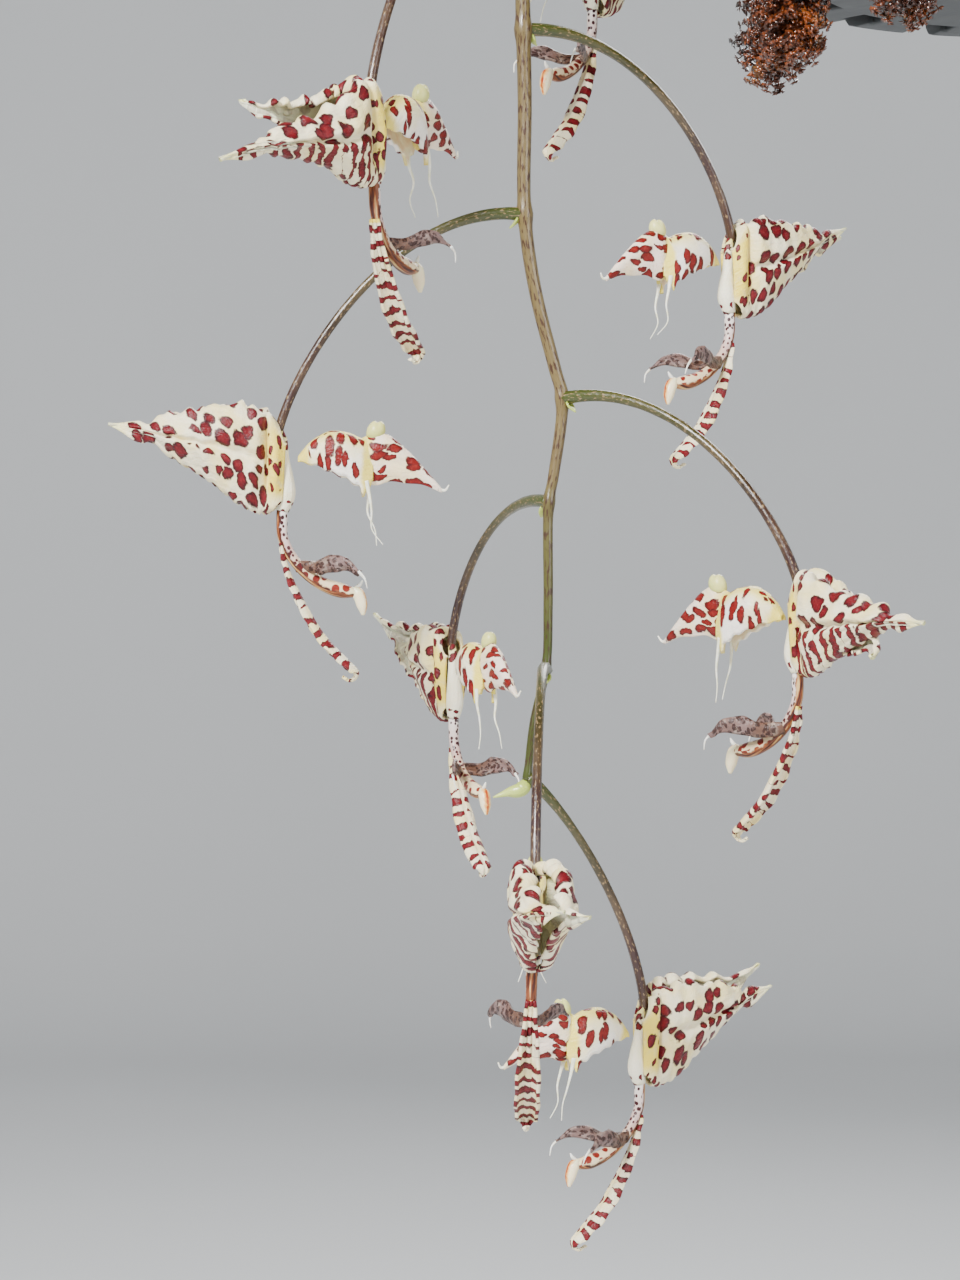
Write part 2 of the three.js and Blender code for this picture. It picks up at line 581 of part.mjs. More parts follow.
// One lateral sepal: a blade swept back from the foot, with both edges rolled inwards. side is 1 or -1.
function sepalSolid(side, { turn, droop, span }) {
  const topEdge = profileCurve(SEPAL_TOP);
  const bottomEdge = profileCurve(SEPAL_BOTTOM);
  const pivot = vector(SEPAL.pivot[0], 0, SEPAL.pivot[1]);
  const inwards = vector(0, -side, 0);
  const [low, high] = SEPAL.rollShares;
  const surface = (u, v) => {
    const share = clamp(u, 0, 1);
    const top = topEdge.getPoint(share);
    const bottom = bottomEdge.getPoint(share);
    const tall = top.distanceTo(bottom);
    const up = top.clone().sub(bottom).divideScalar(tall);
    const opening = Math.min(1, share / 0.2);
    const topRoll = Math.min(SEPAL.topRoll, 0.3 * tall);
    const bottomRoll = Math.min(SEPAL.bottomRoll, 0.25 * tall);
    bottom.addScaledVector(up, bottomRoll);
    top.addScaledVector(up, -topRoll);
    const place = bottom.clone().lerp(top, clamp((v - low) / (high - low), 0, 1));
    if (v < low) {
      const bend = degrees(SEPAL.bottomBend * opening * (1 - 0.5 * share)) * (1 - v / low);
      place.addScaledVector(inwards, bottomRoll * (1 - Math.cos(bend)));
      place.addScaledVector(up, -bottomRoll * Math.sin(bend));
    } else if (v > high) {
      const bend = degrees(SEPAL.topBend * opening * (1 - 0.6 * share)) * ((v - high) / (1 - high));
      place.addScaledVector(inwards, topRoll * (1 - Math.cos(bend)));
      place.addScaledVector(up, topRoll * Math.sin(bend));
    }
    place.y += side * along(SEPAL.spread, share) * lerp(SEPAL.keel, 1, v);
    place.x *= lerp(1, span, share);
    place.sub(pivot).applyAxisAngle(vector(0, 1, 0), degrees(-droop * share)).add(pivot);
    return place.applyAxisAngle(UP, degrees(turn) * Math.min(1, share / 0.3));
  };
  const rows = [0, low, lerp(low, high, 0.5), high, lerp(high, 1, 0.5), 1];
  return blade(surface, [0, 0.18, 0.38, 0.58, 0.8, 1], rows, SEPAL.thickness);
}

// The bloom's foot with its two lateral sepals.
function sepalsSolid({ left, right }) {
  return fuse([rod(profileCurve(FOOT), FOOT_RADII, 7, 4), sepalSolid(1, left), sepalSolid(-1, right)]);
}

// One petal: a narrow strip on edge, from the column's side to a thread-like end.
function petalSolid(side) {
  const course = new THREE.CatmullRomCurve3(PETAL.map(([x, y, z]) => vector(x, side * y, z)));
  const surface = (u, v) =>
    course.getPoint(clamp(u, 0, 1)).addScaledVector(UP, along(PETAL_WIDTHS, u) * (v - 0.5));
  return blade(surface, evenly(4), [0, 1], SEPAL.thickness);
}

// The dorsal sepal: a narrow tongue whose edges are rolled to the back.
function dorsalSepalSolid() {
  const course = profileCurve(DORSAL_SEPAL);
  const surface = (u, v) => {
    const place = clamp(u, 0, 1);
    const front = vector(0, 0, 0).crossVectors(course.getTangent(place), vector(0, 1, 0)).normalize();
    const width = along(DORSAL_SEPAL_WIDTHS, place);
    const across = 2 * v - 1;
    return course.getPoint(place)
      .addScaledVector(vector(0, 1, 0), (across * width) / 2)
      .addScaledVector(front, -0.28 * width * across * across);
  };
  return blade(surface, evenly(6), [0, 0.5, 1], SEPAL.thickness);
}

function columnSolid() {
  return fuse([
    rod(profileCurve(COLUMN), COLUMN_RADII, 5, 6),
    rod(profileCurve(ANTHER_CAP), ANTHER_CAP_RADII, 4, 2),
    dorsalSepalSolid(),
    petalSolid(1),
    petalSolid(-1),
  ]);
}

// The lip: a folded body with hanging side wings, a knob, an upright pointed blade and two bristles.
function lipSolid() {
  const ridge = profileCurve(LIP_RIDGE);
  const wing = profileCurve(LIP_WING);
  const body = (u, v) => {
    const place = clamp(u, 0, 1);
    const turn = (2 * v - 1) * (Math.PI / 2);
    const spread = along(LIP_SPREAD, place) * Math.sin(turn);
    return ridge.getPoint(place).lerp(wing.getPoint(place), 1 - Math.cos(turn)).setY(spread);
  };
  const bladeTop = profileCurve(LIP_BLADE_TOP);
  const bladeBottom = profileCurve(LIP_BLADE_BOTTOM);
  const front = (u, v) => bladeBottom.getPoint(clamp(u, 0, 1)).lerp(bladeTop.getPoint(clamp(u, 0, 1)), v);
  const knob = new THREE.SphereGeometry(LIP.knobRadius, 5, 4).translate(LIP.knob[0], 0, LIP.knob[1]);
  const bristles = [1, -1].map((side) =>
    rod(
      new THREE.CatmullRomCurve3(BRISTLE.map(([x, y, z]) => vector(x, side * y, z))),
      [BRISTLE_RADIUS, BRISTLE_RADIUS],
      4,
      3,
    ),
  );
  return fuse([
    blade(body, evenly(5), evenly(4), LIP.thickness),
    blade(front, evenly(4), [0, 1], LIP.bladeThickness),
    solidOf(knob),
    ...bristles,
  ]);
}

// One bloom as a group of its three sub-parts, turned and placed at the end of its stalk.
function bloomGroup(bloom) {
  const group = new THREE.Group();
  group.add(
    namedMesh(`bloom_${bloom.name}_sepals`, sepalsSolid(bloom), SEPAL_SKIN),
    namedMesh(`bloom_${bloom.name}_column`, columnSolid(), COLUMN_SKIN),
    namedMesh(`bloom_${bloom.name}_lip`, lipSolid(), LIP_SKIN),
  );
  group.position.copy(bloomPlace(bloom));
  group.rotation.copy(bloomTurn(bloom));
  group.scale.setScalar(bloom.size);
  return group;
}

function hangerGroup() {
  const group = new THREE.Group();
  const fatWires = fuse(HANGER_WIRE.directions.map((turn) => hangerWireSolid(turn, CLEARANCE)));
  group.add(namedMesh("hanger_hook", hookSolid().subtract(fatWires), STEEL_WIRE));
  HANGER_WIRE.directions.forEach((turn, i) => {
    group.add(namedMesh(`hanger_wire_${i + 1}`, hangerWireSolid(turn), STEEL_WIRE));
  });
  return group;
}

function plantGroup() {
  const group = new THREE.Group();
  let leafCount = 0;
  BULBS.forEach((bulb, i) => {
    group.add(namedMesh(`pseudobulb_${i + 1}`, bulbSolid(bulb), BULB_SKIN));
    for (const leaf of bulb.leaves) {
      leafCount += 1;
      group.add(namedMesh(`leaf_${leafCount}`, leafSolid(bulb, leaf), LEAF_SKIN));
    }
  });
  group.add(namedMesh("flower_stem", flowerStemSolid(), STEM_SKIN));
  return group;
}

const orchid = new THREE.Group();
orchid.add(
  hangerGroup(),
  namedMesh("pot", potSolid(), POT_PLASTIC),
  namedMesh("growing_medium", mediumSolid(), SPHAGNUM),
  plantGroup(),
  ...BLOOMS.map(bloomGroup),
);
export default orchid;
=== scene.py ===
"""A potted Gongora arcuata: an orchid in a hanging pot, with its flower spike hanging beside the pot."""

import math
import random
from functools import partial

import bmesh
import bpy
from mathutils import Euler, Matrix, Vector, noise


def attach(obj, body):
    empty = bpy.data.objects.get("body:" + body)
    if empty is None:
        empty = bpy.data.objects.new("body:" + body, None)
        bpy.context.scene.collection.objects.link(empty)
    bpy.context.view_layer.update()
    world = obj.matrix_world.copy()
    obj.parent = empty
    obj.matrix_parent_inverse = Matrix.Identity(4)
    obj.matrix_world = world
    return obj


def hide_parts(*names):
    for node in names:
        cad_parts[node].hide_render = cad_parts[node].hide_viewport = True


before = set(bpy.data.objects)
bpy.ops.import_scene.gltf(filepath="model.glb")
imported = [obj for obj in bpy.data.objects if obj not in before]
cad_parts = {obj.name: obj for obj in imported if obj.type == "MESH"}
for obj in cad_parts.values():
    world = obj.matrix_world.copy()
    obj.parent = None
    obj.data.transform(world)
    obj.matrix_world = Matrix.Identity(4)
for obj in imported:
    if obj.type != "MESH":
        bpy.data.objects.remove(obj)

bl_info = {
    "name": "Potted hanging orchid",
    "version": (1, 0, 0),
    "blender": (4, 5, 0),
    "location": "View3D > Sidebar > Orchid",
    "description": "Builds a potted hanging orchid with its spotted blooms, piece by piece",
    "category": "Add Mesh",
}


def linear(hex_colour):
    """An sRGB hex colour as linear red, green, blue and alpha."""
    parts = [int(hex_colour[i:i + 2], 16) / 255 for i in (1, 3, 5)]
    return [c / 12.92 if c <= 0.04045 else ((c + 0.055) / 1.055) ** 2.4 for c in parts] + [1.0]


# Sizes are in millimetres in the frame's own axes: +Z up, -Y the front. MM turns them to metres.
MM = 0.001
UP = Vector((0, 0, 1))
CLEARANCE = 0.35

# The photograph's view: 960 by 1280 pixels, 6.7 of them to a millimetre at the hanging stem.
IMAGE_HEIGHT = 1280
PIXELS_PER_MM = 6.7
CAMERA = {"x": -85.97, "distance": 450, "z": -468.52, "sensor": 36}
FLOOR = {"z": -820, "radius": 2600, "cove": 500, "height": 2400}
# The lamps: place and target in metres, size in metres and power in watts.
LIGHTS = [
    ("key", (-0.7, -1.1, 0.35), (-0.06, 0, -0.42), 0.4, 58),
    ("fill", (1.0, -0.9, -0.1), (-0.06, 0, -0.42), 0.8, 11),
    ("rim", (0.25, 1.1, 0.35), (-0.06, 0, -0.38), 0.8, 16),
]

# The pot and its hanger, as in the frame.
HOOK = {"wire": 1.5, "bend": 14, "collar_top": -46, "collar_height": 12, "collar_radius": 5.5}
HANGER_WIRE = {"directions": (0, 120, 240), "root": 2.9, "hole": 66}
POT = {
    "rim_z": -258, "height": 112, "rim_radius": 62, "base_radius": 46, "lip_radius": 70, "lip_height": 2.6,
    "slots": 18, "slot_width": 6, "slot_top": 63, "slot_depth": 10,
}
POT_BASE_Z = POT["rim_z"] - POT["height"]
TAPER = (POT["rim_radius"] - POT["base_radius"]) / POT["height"]
MEDIUM = {"edge_below_rim": 9, "crown": 5}
# Tufts of moss under the pot: slot, length, girth, lean.
MOSS_TUFTS = [(9, 13, 6, 2), (10, 13.5, 6.5, 0), (12, 11, 6, 3), (16, 10, 5, 1), (4, 12, 6, 2)]

# The bulbs: place, radius, height, root (turn, sway) and leaves (turn, length, width, rise).
BULB = {"ribs": 8, "sunk": 9}
BULB_OUTLINE = [0.55, 0.9, 1, 0.95, 0.76, 0.52, 0.28]
BULBS = [
    ((-24, 12), 14.5, 58, (118, 3), [(150, 215, 46, 0.5), (222, 190, 42, 0.42)]),
    ((0, -14), 14, 55, (262, -4), [(252, 205, 44, 0.46), (310, 235, 50, 0.52)]),
    ((8, 22), 14, 54, None, [(98, 210, 44, 0.48), (30, 180, 40, 0.6)]),
    ((31, -4), 13, 48, None, [(335, 170, 38, 0.4)]),
    ((-14, 41), 10.5, 40, None, []),
]
LEAF = {"pleats": 3, "pleat": 1.4, "cup": 0.18, "stalk_width": 4.2, "bell_peak": 0.217}

# The hanging flower stem, as in the frame: arch is (x, y, above the rim), course is (across, down).
STEM = {"x": -80, "top": POT_BASE_Z - 3}
STEM_ARCH = [
    (-42, 11, -16), (-46, 10, -4), (-56, 7, 9), (-69, 3, 8), (-77, 1, -6), (-79.6, 0, -30), (-80, 0, -70),
]
STEM_COURSE = [
    (0.4, 0), (0.7, 15), (0.7, 32), (2.2, 43), (5.2, 55), (6.3, 59.5), (5, 71), (4.3, 75),
    (4.2, 90), (3.9, 99.5), (2, 108), (1, 116.5),
]
STEM_TIP = (-4, 119)
STEM_RADII = [1.35, 1.3, 1.25, 1.15, 1.02, 0.95, 0.8, 0.68, 0.55]
# Where the stem leaves the medium.
STEM_ROOT = Vector((-43.5, 10.7, 0))

# The blooms: node, hangs, facing, pitch, roll, size and stalk as in the frame. Each lateral sepal has
# turn, droop, span, the curl and twist of its point in degrees, and how much slimmer than usual it is.
BLOOMS = {
    "a": (-15, (-21.6, -28.7, 19.5), -118, 9, 3, 1.02, (0.45, 9, 17),
          ((-26, 5, 0.8, -150, 40, 0.3), (-24, 22, 1, 0, 60, 0.36))),
    "b": (-34, (12.2, 21.5, -14.5), 51, 2, 1, 0.99, (0.45, 9, 12),
          ((12, -5, 1, 0, 40, 0), (12, -2, 1, 20, 40, 0))),
    "c": (4.5, (33.3, 16.3, 33.7), 32, 2, 3, 0.965, (0.5, 3, 15),
          ((6, -9, 1, 0, 50, 0.05), (5, -6, 1, 0, 60, 0.05))),
    "d": (32, (-36.3, -1.8, 64.6), 182, 0, 0, 0.99, (0.5, 2, 12),
          ((0, 0, 1, 0, 40, 0), (0, 0, 1, 15, 50, 0))),
    "e": (59.5, (40.1, -19, 88.4), -41, 3, -5, 1, (0.5, 3, 12),
          ((-13, 10, 1, 0, 40, 0.2), (-18, 32, 0.75, 120, 30, 0.22))),
    "f": (75, (-10.7, 27.1, 96.4), 115, 2, 0, 0.965, (0.5, 3, 12),
          ((11, -13, 1, 0, 60, 0.1), (-6, -2, 0.95, 30, 40, 0.1))),
    "g": (100, (1.7, -31.1, 129), -91, 4, 2, 1.01, (0.5, 3, 15),
          ((4, 6, 0.85, 60, 60, 0.1), (10, 9, 0.82, -60, 60, 0.1))),
    "h": (116, (19.6, 13.1, 152), 26, 2, 1, 0.975, (0.3, -4, 15),
          ((9, -4, 1, 0, 50, 0), (8, -13, 1, 0, 60, 0))),
}
STALK = {"radii": (1.05, 0.78, 0.66, 0.66, 0.68, 0.72), "above_bloom": 1.2}

# One bloom in its own frame: the stalk's end is the origin, +X points to the lip. Outlines are (x, z).
SEPAL_TOP = [(1.6, -0.6), (-1, 2.8), (-5.2, 4.2), (-11.4, 3.5), (-17.6, 2.4), (-24.3, 1.7)]
SEPAL_BOTTOM = [(1, -11.4), (-1.6, -12.3), (-5, -11.2), (-10, -7.4), (-16.6, -3.4), (-24.1, 0.8)]
SEPAL_SPREAD = [1.55, 3.2, 4.1, 3.8, 2.8, 1.5]
SEPAL = {
    "keel": 0.4, "top_roll": 1.5, "bottom_roll": 1.1, "top_bend": 215, "bottom_bend": 130, "low": 0.16,
    "high": 0.76, "lobe": 1.3, "groove": 1.1, "crease": 0.2, "pouch": 0.75, "pivot": (-2, 0, -4), "wave": 0.2,
    "wave_length": 2.9, "scallop": 0.13, "scallop_length": 1.75, "length": 25, "curl_start": -13.5,
    "curl_reach": 9,
}
FOOT = [(0.6, 0.2), (1.0, -1.2), (1.1, -4), (1.4, -7), (1.5, -9.4), (0.95, -11.9)]
FOOT_RADII = [0.55, 0.72, 0.88, 1.25, 1.45, 0.95]
COLUMN = [
    (0.9, -11.6), (0.9, -13.2), (1, -15.6), (2.1, -18.3), (4.1, -20.8), (6.6, -22.6), (9.4, -23.7),
    (12.4, -24.2),
]
COLUMN_RADII = [0.8, 0.85, 0.8, 0.8, 0.85, 1.0, 1.15, 0.6]
ANTHER_CAP = [(11.6, -23.4), (12.4, -24.4), (12.9, -26), (13.1, -27.5)]
ANTHER_CAP_RADII = [0.5, 0.95, 0.85, 0.25]
PETAL = [(3.0, 0.2, -20.0), (5.9, 2.0, -20.4), (8.2, 3.6, -19.7), (10.6, 4.8, -19.8), (12.6, 5.6, -21.2)]
PETAL_WIDTHS = [1.5, 1.7, 2.3, 1.5, 0.25]
PETAL_HAIR = [(12.4, 5.5, -21), (13.3, 5.7, -22), (13.7, 5.5, -23.4)]
DORSAL_SEPAL = [
    (1.1, -16.6), (2.1, -20.6), (4.5, -25.6), (7.6, -30.6), (10.8, -34), (12.5, -36), (12.1, -37.2),
    (11, -37.6), (9.9, -37),
]
DORSAL_SEPAL_WIDTHS = [1.5, 2.3, 3.3, 3.7, 3.5, 2.7, 1.2, 0.7, 0.2]
LIP_RIDGE = [(3.3, -3.6), (5.2, -1.4), (8.2, 0.2), (11, -0.1), (13, -0.9), (14.6, -0.7)]
LIP_WING = [(3.3, -4.5), (5.9, -5.0), (8.2, -6.0), (10.6, -7.0), (12.6, -8.2), (14.6, -7.4)]
LIP_SPREAD = [0.6, 1.5, 2.1, 2.3, 2.1, 1.2]
LIP_TEETH = [(0.86, 1.5, 0.035), (0.95, 0.9, 0.02)]
LIP_BLADE_TOP = [(12.8, -0.9), (15.4, 0.1), (17.6, -0.8), (19.8, -2.7), (22, -5), (24.8, -8.3)]
LIP_BLADE_BOTTOM = [(12.8, -7.4), (15, -8.0), (17.2, -7.4), (19.6, -7.7), (22, -7.9), (24.9, -9.1)]
LIP_BLADE_HALF_WIDTHS = [0.9, 1.5, 1.5, 1.1, 0.75, 0.3]
LIP_KNOB = (15.0, 0, 0.1)
LIP_HOOK = [(24.5, 0, -8.6), (25.4, 0, -8.7), (26, 0.2, -7.9)]
BRISTLE = [(13.5, 1.5, -7.4), (13.9, 1.6, -9.6), (14.3, 1.5, -12), (14.9, 1.5, -14.6), (15.4, 1.7, -17)]
BRISTLE_RADII = [0.45, 0.25, 0.16, 0.1, 0.07]

# Shares that lie past both ends of a piece, and the settings that most noises and soft steps have.
ALL = (-1, 2)
FLAT = {"noise_dimensions": "2D"}
SOFT = {"interpolation_type": "SMOOTHSTEP"}
FULL_TURN = 2 * math.pi


def clamp(value, low=0.0, high=1.0):
    return min(max(value, low), high)


def blend(low, high, share):
    return low + (high - low) * share


def ease(low, high, value):
    """A soft step from 0 at low to 1 at high."""
    share = clamp((value - low) / (high - low))
    return share * share * (3 - 2 * share)


def hump(value, middle, width):
    """A soft hump of height 1 round middle."""
    return math.exp(-(((value - middle) / width) ** 2))


def heading(turn):
    return Vector((math.cos(math.radians(turn)), math.sin(math.radians(turn)), 0))


def upright(points):
    """A smooth curve through an outline in the XZ plane."""
    return Course([(x, 0, z) for x, z in points])


def knot_curve(a, b, c, d, share):
    """The centripetal Catmull-Rom curve from b to c."""
    steps = [max((q - p).length_squared ** 0.25, 1e-4) for p, q in ((a, b), (b, c), (c, d))]
    start = ((b - a) / steps[0] - (c - a) / (steps[0] + steps[1]) + (c - b) / steps[1]) * steps[1]
    end = ((c - b) / steps[1] - (d - b) / (steps[1] + steps[2]) + (d - c) / steps[2]) * steps[1]
    square = share * share
    bend = (-3 * b + 3 * c - 2 * start - end) * square + (2 * b - 2 * c + start + end) * square * share
    return b + start * share + bend


class Course:
    """A smooth curve through points, read by the share of the way along them."""

    def __init__(self, points, steps=20):
        points = [Vector(point) for point in points]
        ends = [2 * points[0] - points[1]] + points + [2 * points[-1] - points[-2]]
        self.places = []
        for a, b, c, d in zip(ends, ends[1:], ends[2:], ends[3:]):
            self.places += [knot_curve(a, b, c, d, i / steps) for i in range(steps)]
        self.places.append(points[-1])

    def at(self, share):
        place = clamp(share) * (len(self.places) - 1)
        index = min(int(place), len(self.places) - 2)
        return self.places[index].lerp(self.places[index + 1], place - index)

    def direction(self, share):
        return (self.at(share + 0.012) - self.at(share - 0.012)).normalized()


def course_of(values):
    """A smooth reading of evenly spaced numbers."""
    line = Course([(0, 0, value) for value in values])
    return lambda share: line.at(share).z


def bezier(a, b, c, d, count=24):
    """The cubic Bezier curve of four points, as a course."""
    shares = [i / count for i in range(count + 1)]
    points = [
        a * (1 - t) ** 3 + b * 3 * t * (1 - t) ** 2 + c * 3 * t * t * (1 - t) + d * t ** 3 for t in shares
    ]
    return Course(points, 4)


# Mesh tools.


def activate(*pieces):
    bpy.ops.object.select_all(action="DESELECT")
    for piece in pieces:
        piece.select_set(True)
    bpy.context.view_layer.objects.active = pieces[0]


def named(piece, name):
    piece.name = piece.data.name = name
    return piece


def in_scene(name, data):
    """A new object with this data, in the scene."""
    piece = bpy.data.objects.new(name, data)
    bpy.context.collection.objects.link(piece)
    return piece


def edited(piece, **tools):
    """Runs mesh tools on the whole piece, each by its name with its settings."""
    activate(piece)
    bpy.ops.object.mode_set(mode="EDIT")
    bpy.ops.mesh.select_all(action="SELECT")
    for name, settings in tools.items():
        getattr(bpy.ops.mesh, name)(**settings)
    bpy.ops.object.mode_set(mode="OBJECT")
    return piece


def lay_sheet(name, rows, columns, place):
    """A grid laid over place(u, v), which gives millimetres. Its maps hold the shares and real lengths."""
    bpy.ops.object.select_all(action="DESELECT")
    bpy.ops.mesh.primitive_grid_add(x_subdivisions=rows, y_subdivisions=columns, size=1)
    piece = named(bpy.context.object, name)
    mesh = piece.data
    mesh.uv_layers[0].name = "Share"
    knots = [(round((v.co.x + 0.5) * rows), round((v.co.y + 0.5) * columns)) for v in mesh.vertices]
    laid = {(i, j): place(i / rows, j / columns) for i, j in knots}
    middle = columns // 2
    along = [0.0]
    for i in range(rows):
        along.append(along[-1] + (laid[i + 1, middle] - laid[i, middle]).length)
    across = {}
    for i in range(rows + 1):
        across[i, middle] = 0.0
        for j in range(middle, columns):
            across[i, j + 1] = across[i, j] + (laid[i, j + 1] - laid[i, j]).length
        for j in range(middle, 0, -1):
            across[i, j - 1] = across[i, j] - (laid[i, j] - laid[i, j - 1]).length
    for vertex, knot in zip(mesh.vertices, knots):
        vertex.co = laid[knot] * MM
    real = mesh.uv_layers.new(name="Millimetres")
    for loop in mesh.loops:
        knot = knots[loop.vertex_index]
        real.data[loop.index].uv = (along[knot[0]], across[knot])
    activate(piece)
    bpy.ops.object.shade_smooth()
    return piece


def lay_tube(name, course, radius, rows, sides, coat, side=(0, 1, 0), section=None):
    """A closed tube round a course. section(share, angle) scales its radius, side is where its seam faces."""
    shares = [clamp((i - 1) / (rows - 2)) for i in range(rows + 1)]
    rings = []
    level = Vector(side)
    for share in shares:
        forward = course.direction(share)
        level = (level - forward * level.dot(forward)).normalized()
        rings.append((course.at(share), level.copy(), level.cross(forward)))

    def place(u, v):
        i = round(u * rows)
        centre, first, second = rings[i]
        if i in (0, rows):
            return centre
        angle = FULL_TURN * v
        reach = radius(shares[i]) * (section(shares[i], angle) if section else 1)
        return centre + (first * math.cos(angle) + second * math.sin(angle)) * reach

    return coated(close_up(lay_sheet(name, rows, sides, place)), coat)


def close_up(piece, merge=2e-7):
    """Welds a wrapped sheet's seam and poles, with its faces pointing outwards."""
    return edited(piece, remove_doubles={"threshold": merge}, normals_make_consistent={"inside": False})


def turn_over(piece):
    return edited(piece, flip_normals={})


def apply_modifier(piece, kind, **settings):
    activate(piece)
    modifier = piece.modifiers.new(kind.title(), kind)
    for name, value in settings.items():
        setattr(modifier, name, value)
    bpy.ops.object.modifier_apply(modifier=modifier.name)


def coated(piece, *materials):
    """Gives the piece its materials: the outer face's, then the inner face's."""
    piece.data.materials.clear()
    for material in materials:
        piece.data.materials.append(material)
    return piece


def thicken(piece, thickness, outer, inner):
    """Gives a sheet its thickness behind its outer face, and each face its material."""
    coated(piece, outer, inner)
    apply_modifier(piece, "SOLIDIFY", thickness=thickness, offset=-1, material_offset=1)
    return piece


def joined(name, pieces):
    activate(*pieces)
    if len(pieces) > 1:
        bpy.ops.object.join()
    return named(bpy.context.object, name)


def settle(piece, matrix):
    """Places the piece, and puts that place in its mesh."""
    piece.matrix_world = matrix
    activate(piece)
    bpy.ops.object.transform_apply(location=True, rotation=True, scale=True)


def copied(piece, name):
    return named(in_scene(name, piece.data.copy()), name)


def shift_pattern(piece, shift):
    """Moves the pattern along the piece, so that no two copies are marked alike."""
    for item in piece.data.uv_layers["Millimetres"].data:
        item.uv.x += shift


def scattered(name, model, matrices):
    """One piece of many copies of a model."""
    gathered = bmesh.new()
    for matrix in matrices:
        start = len(gathered.verts)
        gathered.from_mesh(model.data)
        gathered.verts.ensure_lookup_table()
        bmesh.ops.transform(gathered, matrix=matrix, verts=gathered.verts[start:])
    mesh = bpy.data.meshes.new(name)
    gathered.to_mesh(mesh)
    gathered.free()
    piece = coated(in_scene(name, mesh), *model.data.materials)
    activate(piece)
    bpy.ops.object.shade_smooth()
    return piece


def stand_for(piece, node):
    """The piece rides on the plant's one body and is seen instead of its node."""
    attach(piece, "root")
    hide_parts(node)


# Materials.


def add_node(tree, kind, *values, stops=(), **others):
    """Adds a node. What goes into its inputs, a value, a node or a socket, comes in their order or by their
    capitalised names, its settings come by theirs, and stops are a ramp's places and colours."""
    node = tree.nodes.new(f"ShaderNode{kind}")
    inputs = dict(enumerate(values))
    for name, value in others.items():
        if name[0].isupper():
            inputs[name] = value
        else:
            setattr(node, name, value)
    for socket, value in inputs.items():
        if isinstance(value, bpy.types.Node):
            value = value.outputs[0]
        if isinstance(value, bpy.types.NodeSocket):
            tree.links.new(value, node.inputs[socket])
        else:
            node.inputs[socket].default_value = value
    for index, (position, colour) in enumerate(stops):
        if index == len(node.color_ramp.elements):
            node.color_ramp.elements.new(position)
        node.color_ramp.elements[index].position = position
        node.color_ramp.elements[index].color = colour
    return node


def new_material(name, **uniform):
    """A material whose uniform values are set on its shader's own sockets, and what adds nodes to it."""
    material = bpy.data.materials.new(name)
    material.use_nodes = True
    shader = material.node_tree.nodes["Principled BSDF"]
    for socket, value in uniform.items():
        shader.inputs[socket.replace("_", " ")].default_value = value
    return material, partial(add_node, material.node_tree)


def finished(material, skin, height=None, strength=0.0, depth=0.0, matt=None):
    """The material with its colour, its relief of a depth in metres, and its uneven roughness."""
    tree = material.node_tree
    sockets = tree.nodes["Principled BSDF"].inputs
    tree.links.new(skin.outputs[0], sockets["Base Color"])
    if matt:
        tree.links.new(matt.outputs[0], sockets["Roughness"])
    if height:
        bump = add_node(tree, "Bump", Strength=strength, Distance=depth, Height=height)
        tree.links.new(bump.outputs[0], sockets["Normal"])
    return material


def maps_of(add):
    """The piece's own maps: the shares along and across it, and real millimetres."""
    return add("SeparateXYZ", add("UVMap", uv_map="Share")), add("UVMap", uv_map="Millimetres")


def apart(add, value, middle):
    """How far a value is from a middle."""
    return add("Math", add("Math", value, middle, operation="SUBTRACT"), operation="ABSOLUTE")


def blend_colour(first, second, share):
    return [blend(a, b, share) for a, b in zip(first, second)]


def shades_of(*stops):
    """A ramp's stops from their places and hex colours."""
    return [(position, linear(colour)) for position, colour in stops]


def spots_of(add, place, share, cell, cover, loose, along, across):
    """Depth inside spots: 1 at a heart, 0 at a rim. cell is their spacing in millimetres along and across,
    or None across for bars, cover their radius as a share of it, loose how strewn they are; along and
    across bound them in shares."""
    if cell[1] is None:
        drawn = add("VectorMath", place, (0.25, 0.3, 1), operation="MULTIPLY")
        stray = add("TexNoise", drawn, Scale=1, Detail=3, **FLAT)
        count = add("Math", add("SeparateXYZ", place), 1 / cell[0], operation="MULTIPLY")
        shifted = add("Math", stray, 2.2 * loose, count, operation="MULTIPLY_ADD")
        distance = add("Math", shifted, 0.5, operation="PINGPONG")
        drawn = add("VectorMath", place, (0.55, 0.33, 1), operation="MULTIPLY")
        breaks = add("TexNoise", drawn, Scale=1, Detail=1, **FLAT)
        radius = add("MapRange", breaks, 0.33, 0.56, 0.02, cover)
    else:
        cells = add("VectorMath", place, (1 / cell[0], 1 / cell[1], 1), operation="MULTIPLY")
        distance = add(
            "TexVoronoi", cells, Scale=1, Randomness=loose, Smoothness=0.12, voronoi_dimensions="2D",
            feature="SMOOTH_F1",
        )
        chance = add("SeparateXYZ", distance.outputs[1])
        radius = add("MapRange", chance, 0, 1, 0.72 * cover, 1.22 * cover)
    depth = add("Math", 1, add("Math", distance, radius, operation="DIVIDE"), operation="SUBTRACT")
    for output, (low, high), fade in ((0, along, 0.03), (1, across, 0.05)):
        beside = apart(add, share.outputs[output], (low + high) / 2)
        half = (high - low) / 2
        outside = add("MapRange", beside, half - fade, half + fade, 0, -1.6, **SOFT)
        depth = add("Math", depth, outside, operation="ADD")
    return depth


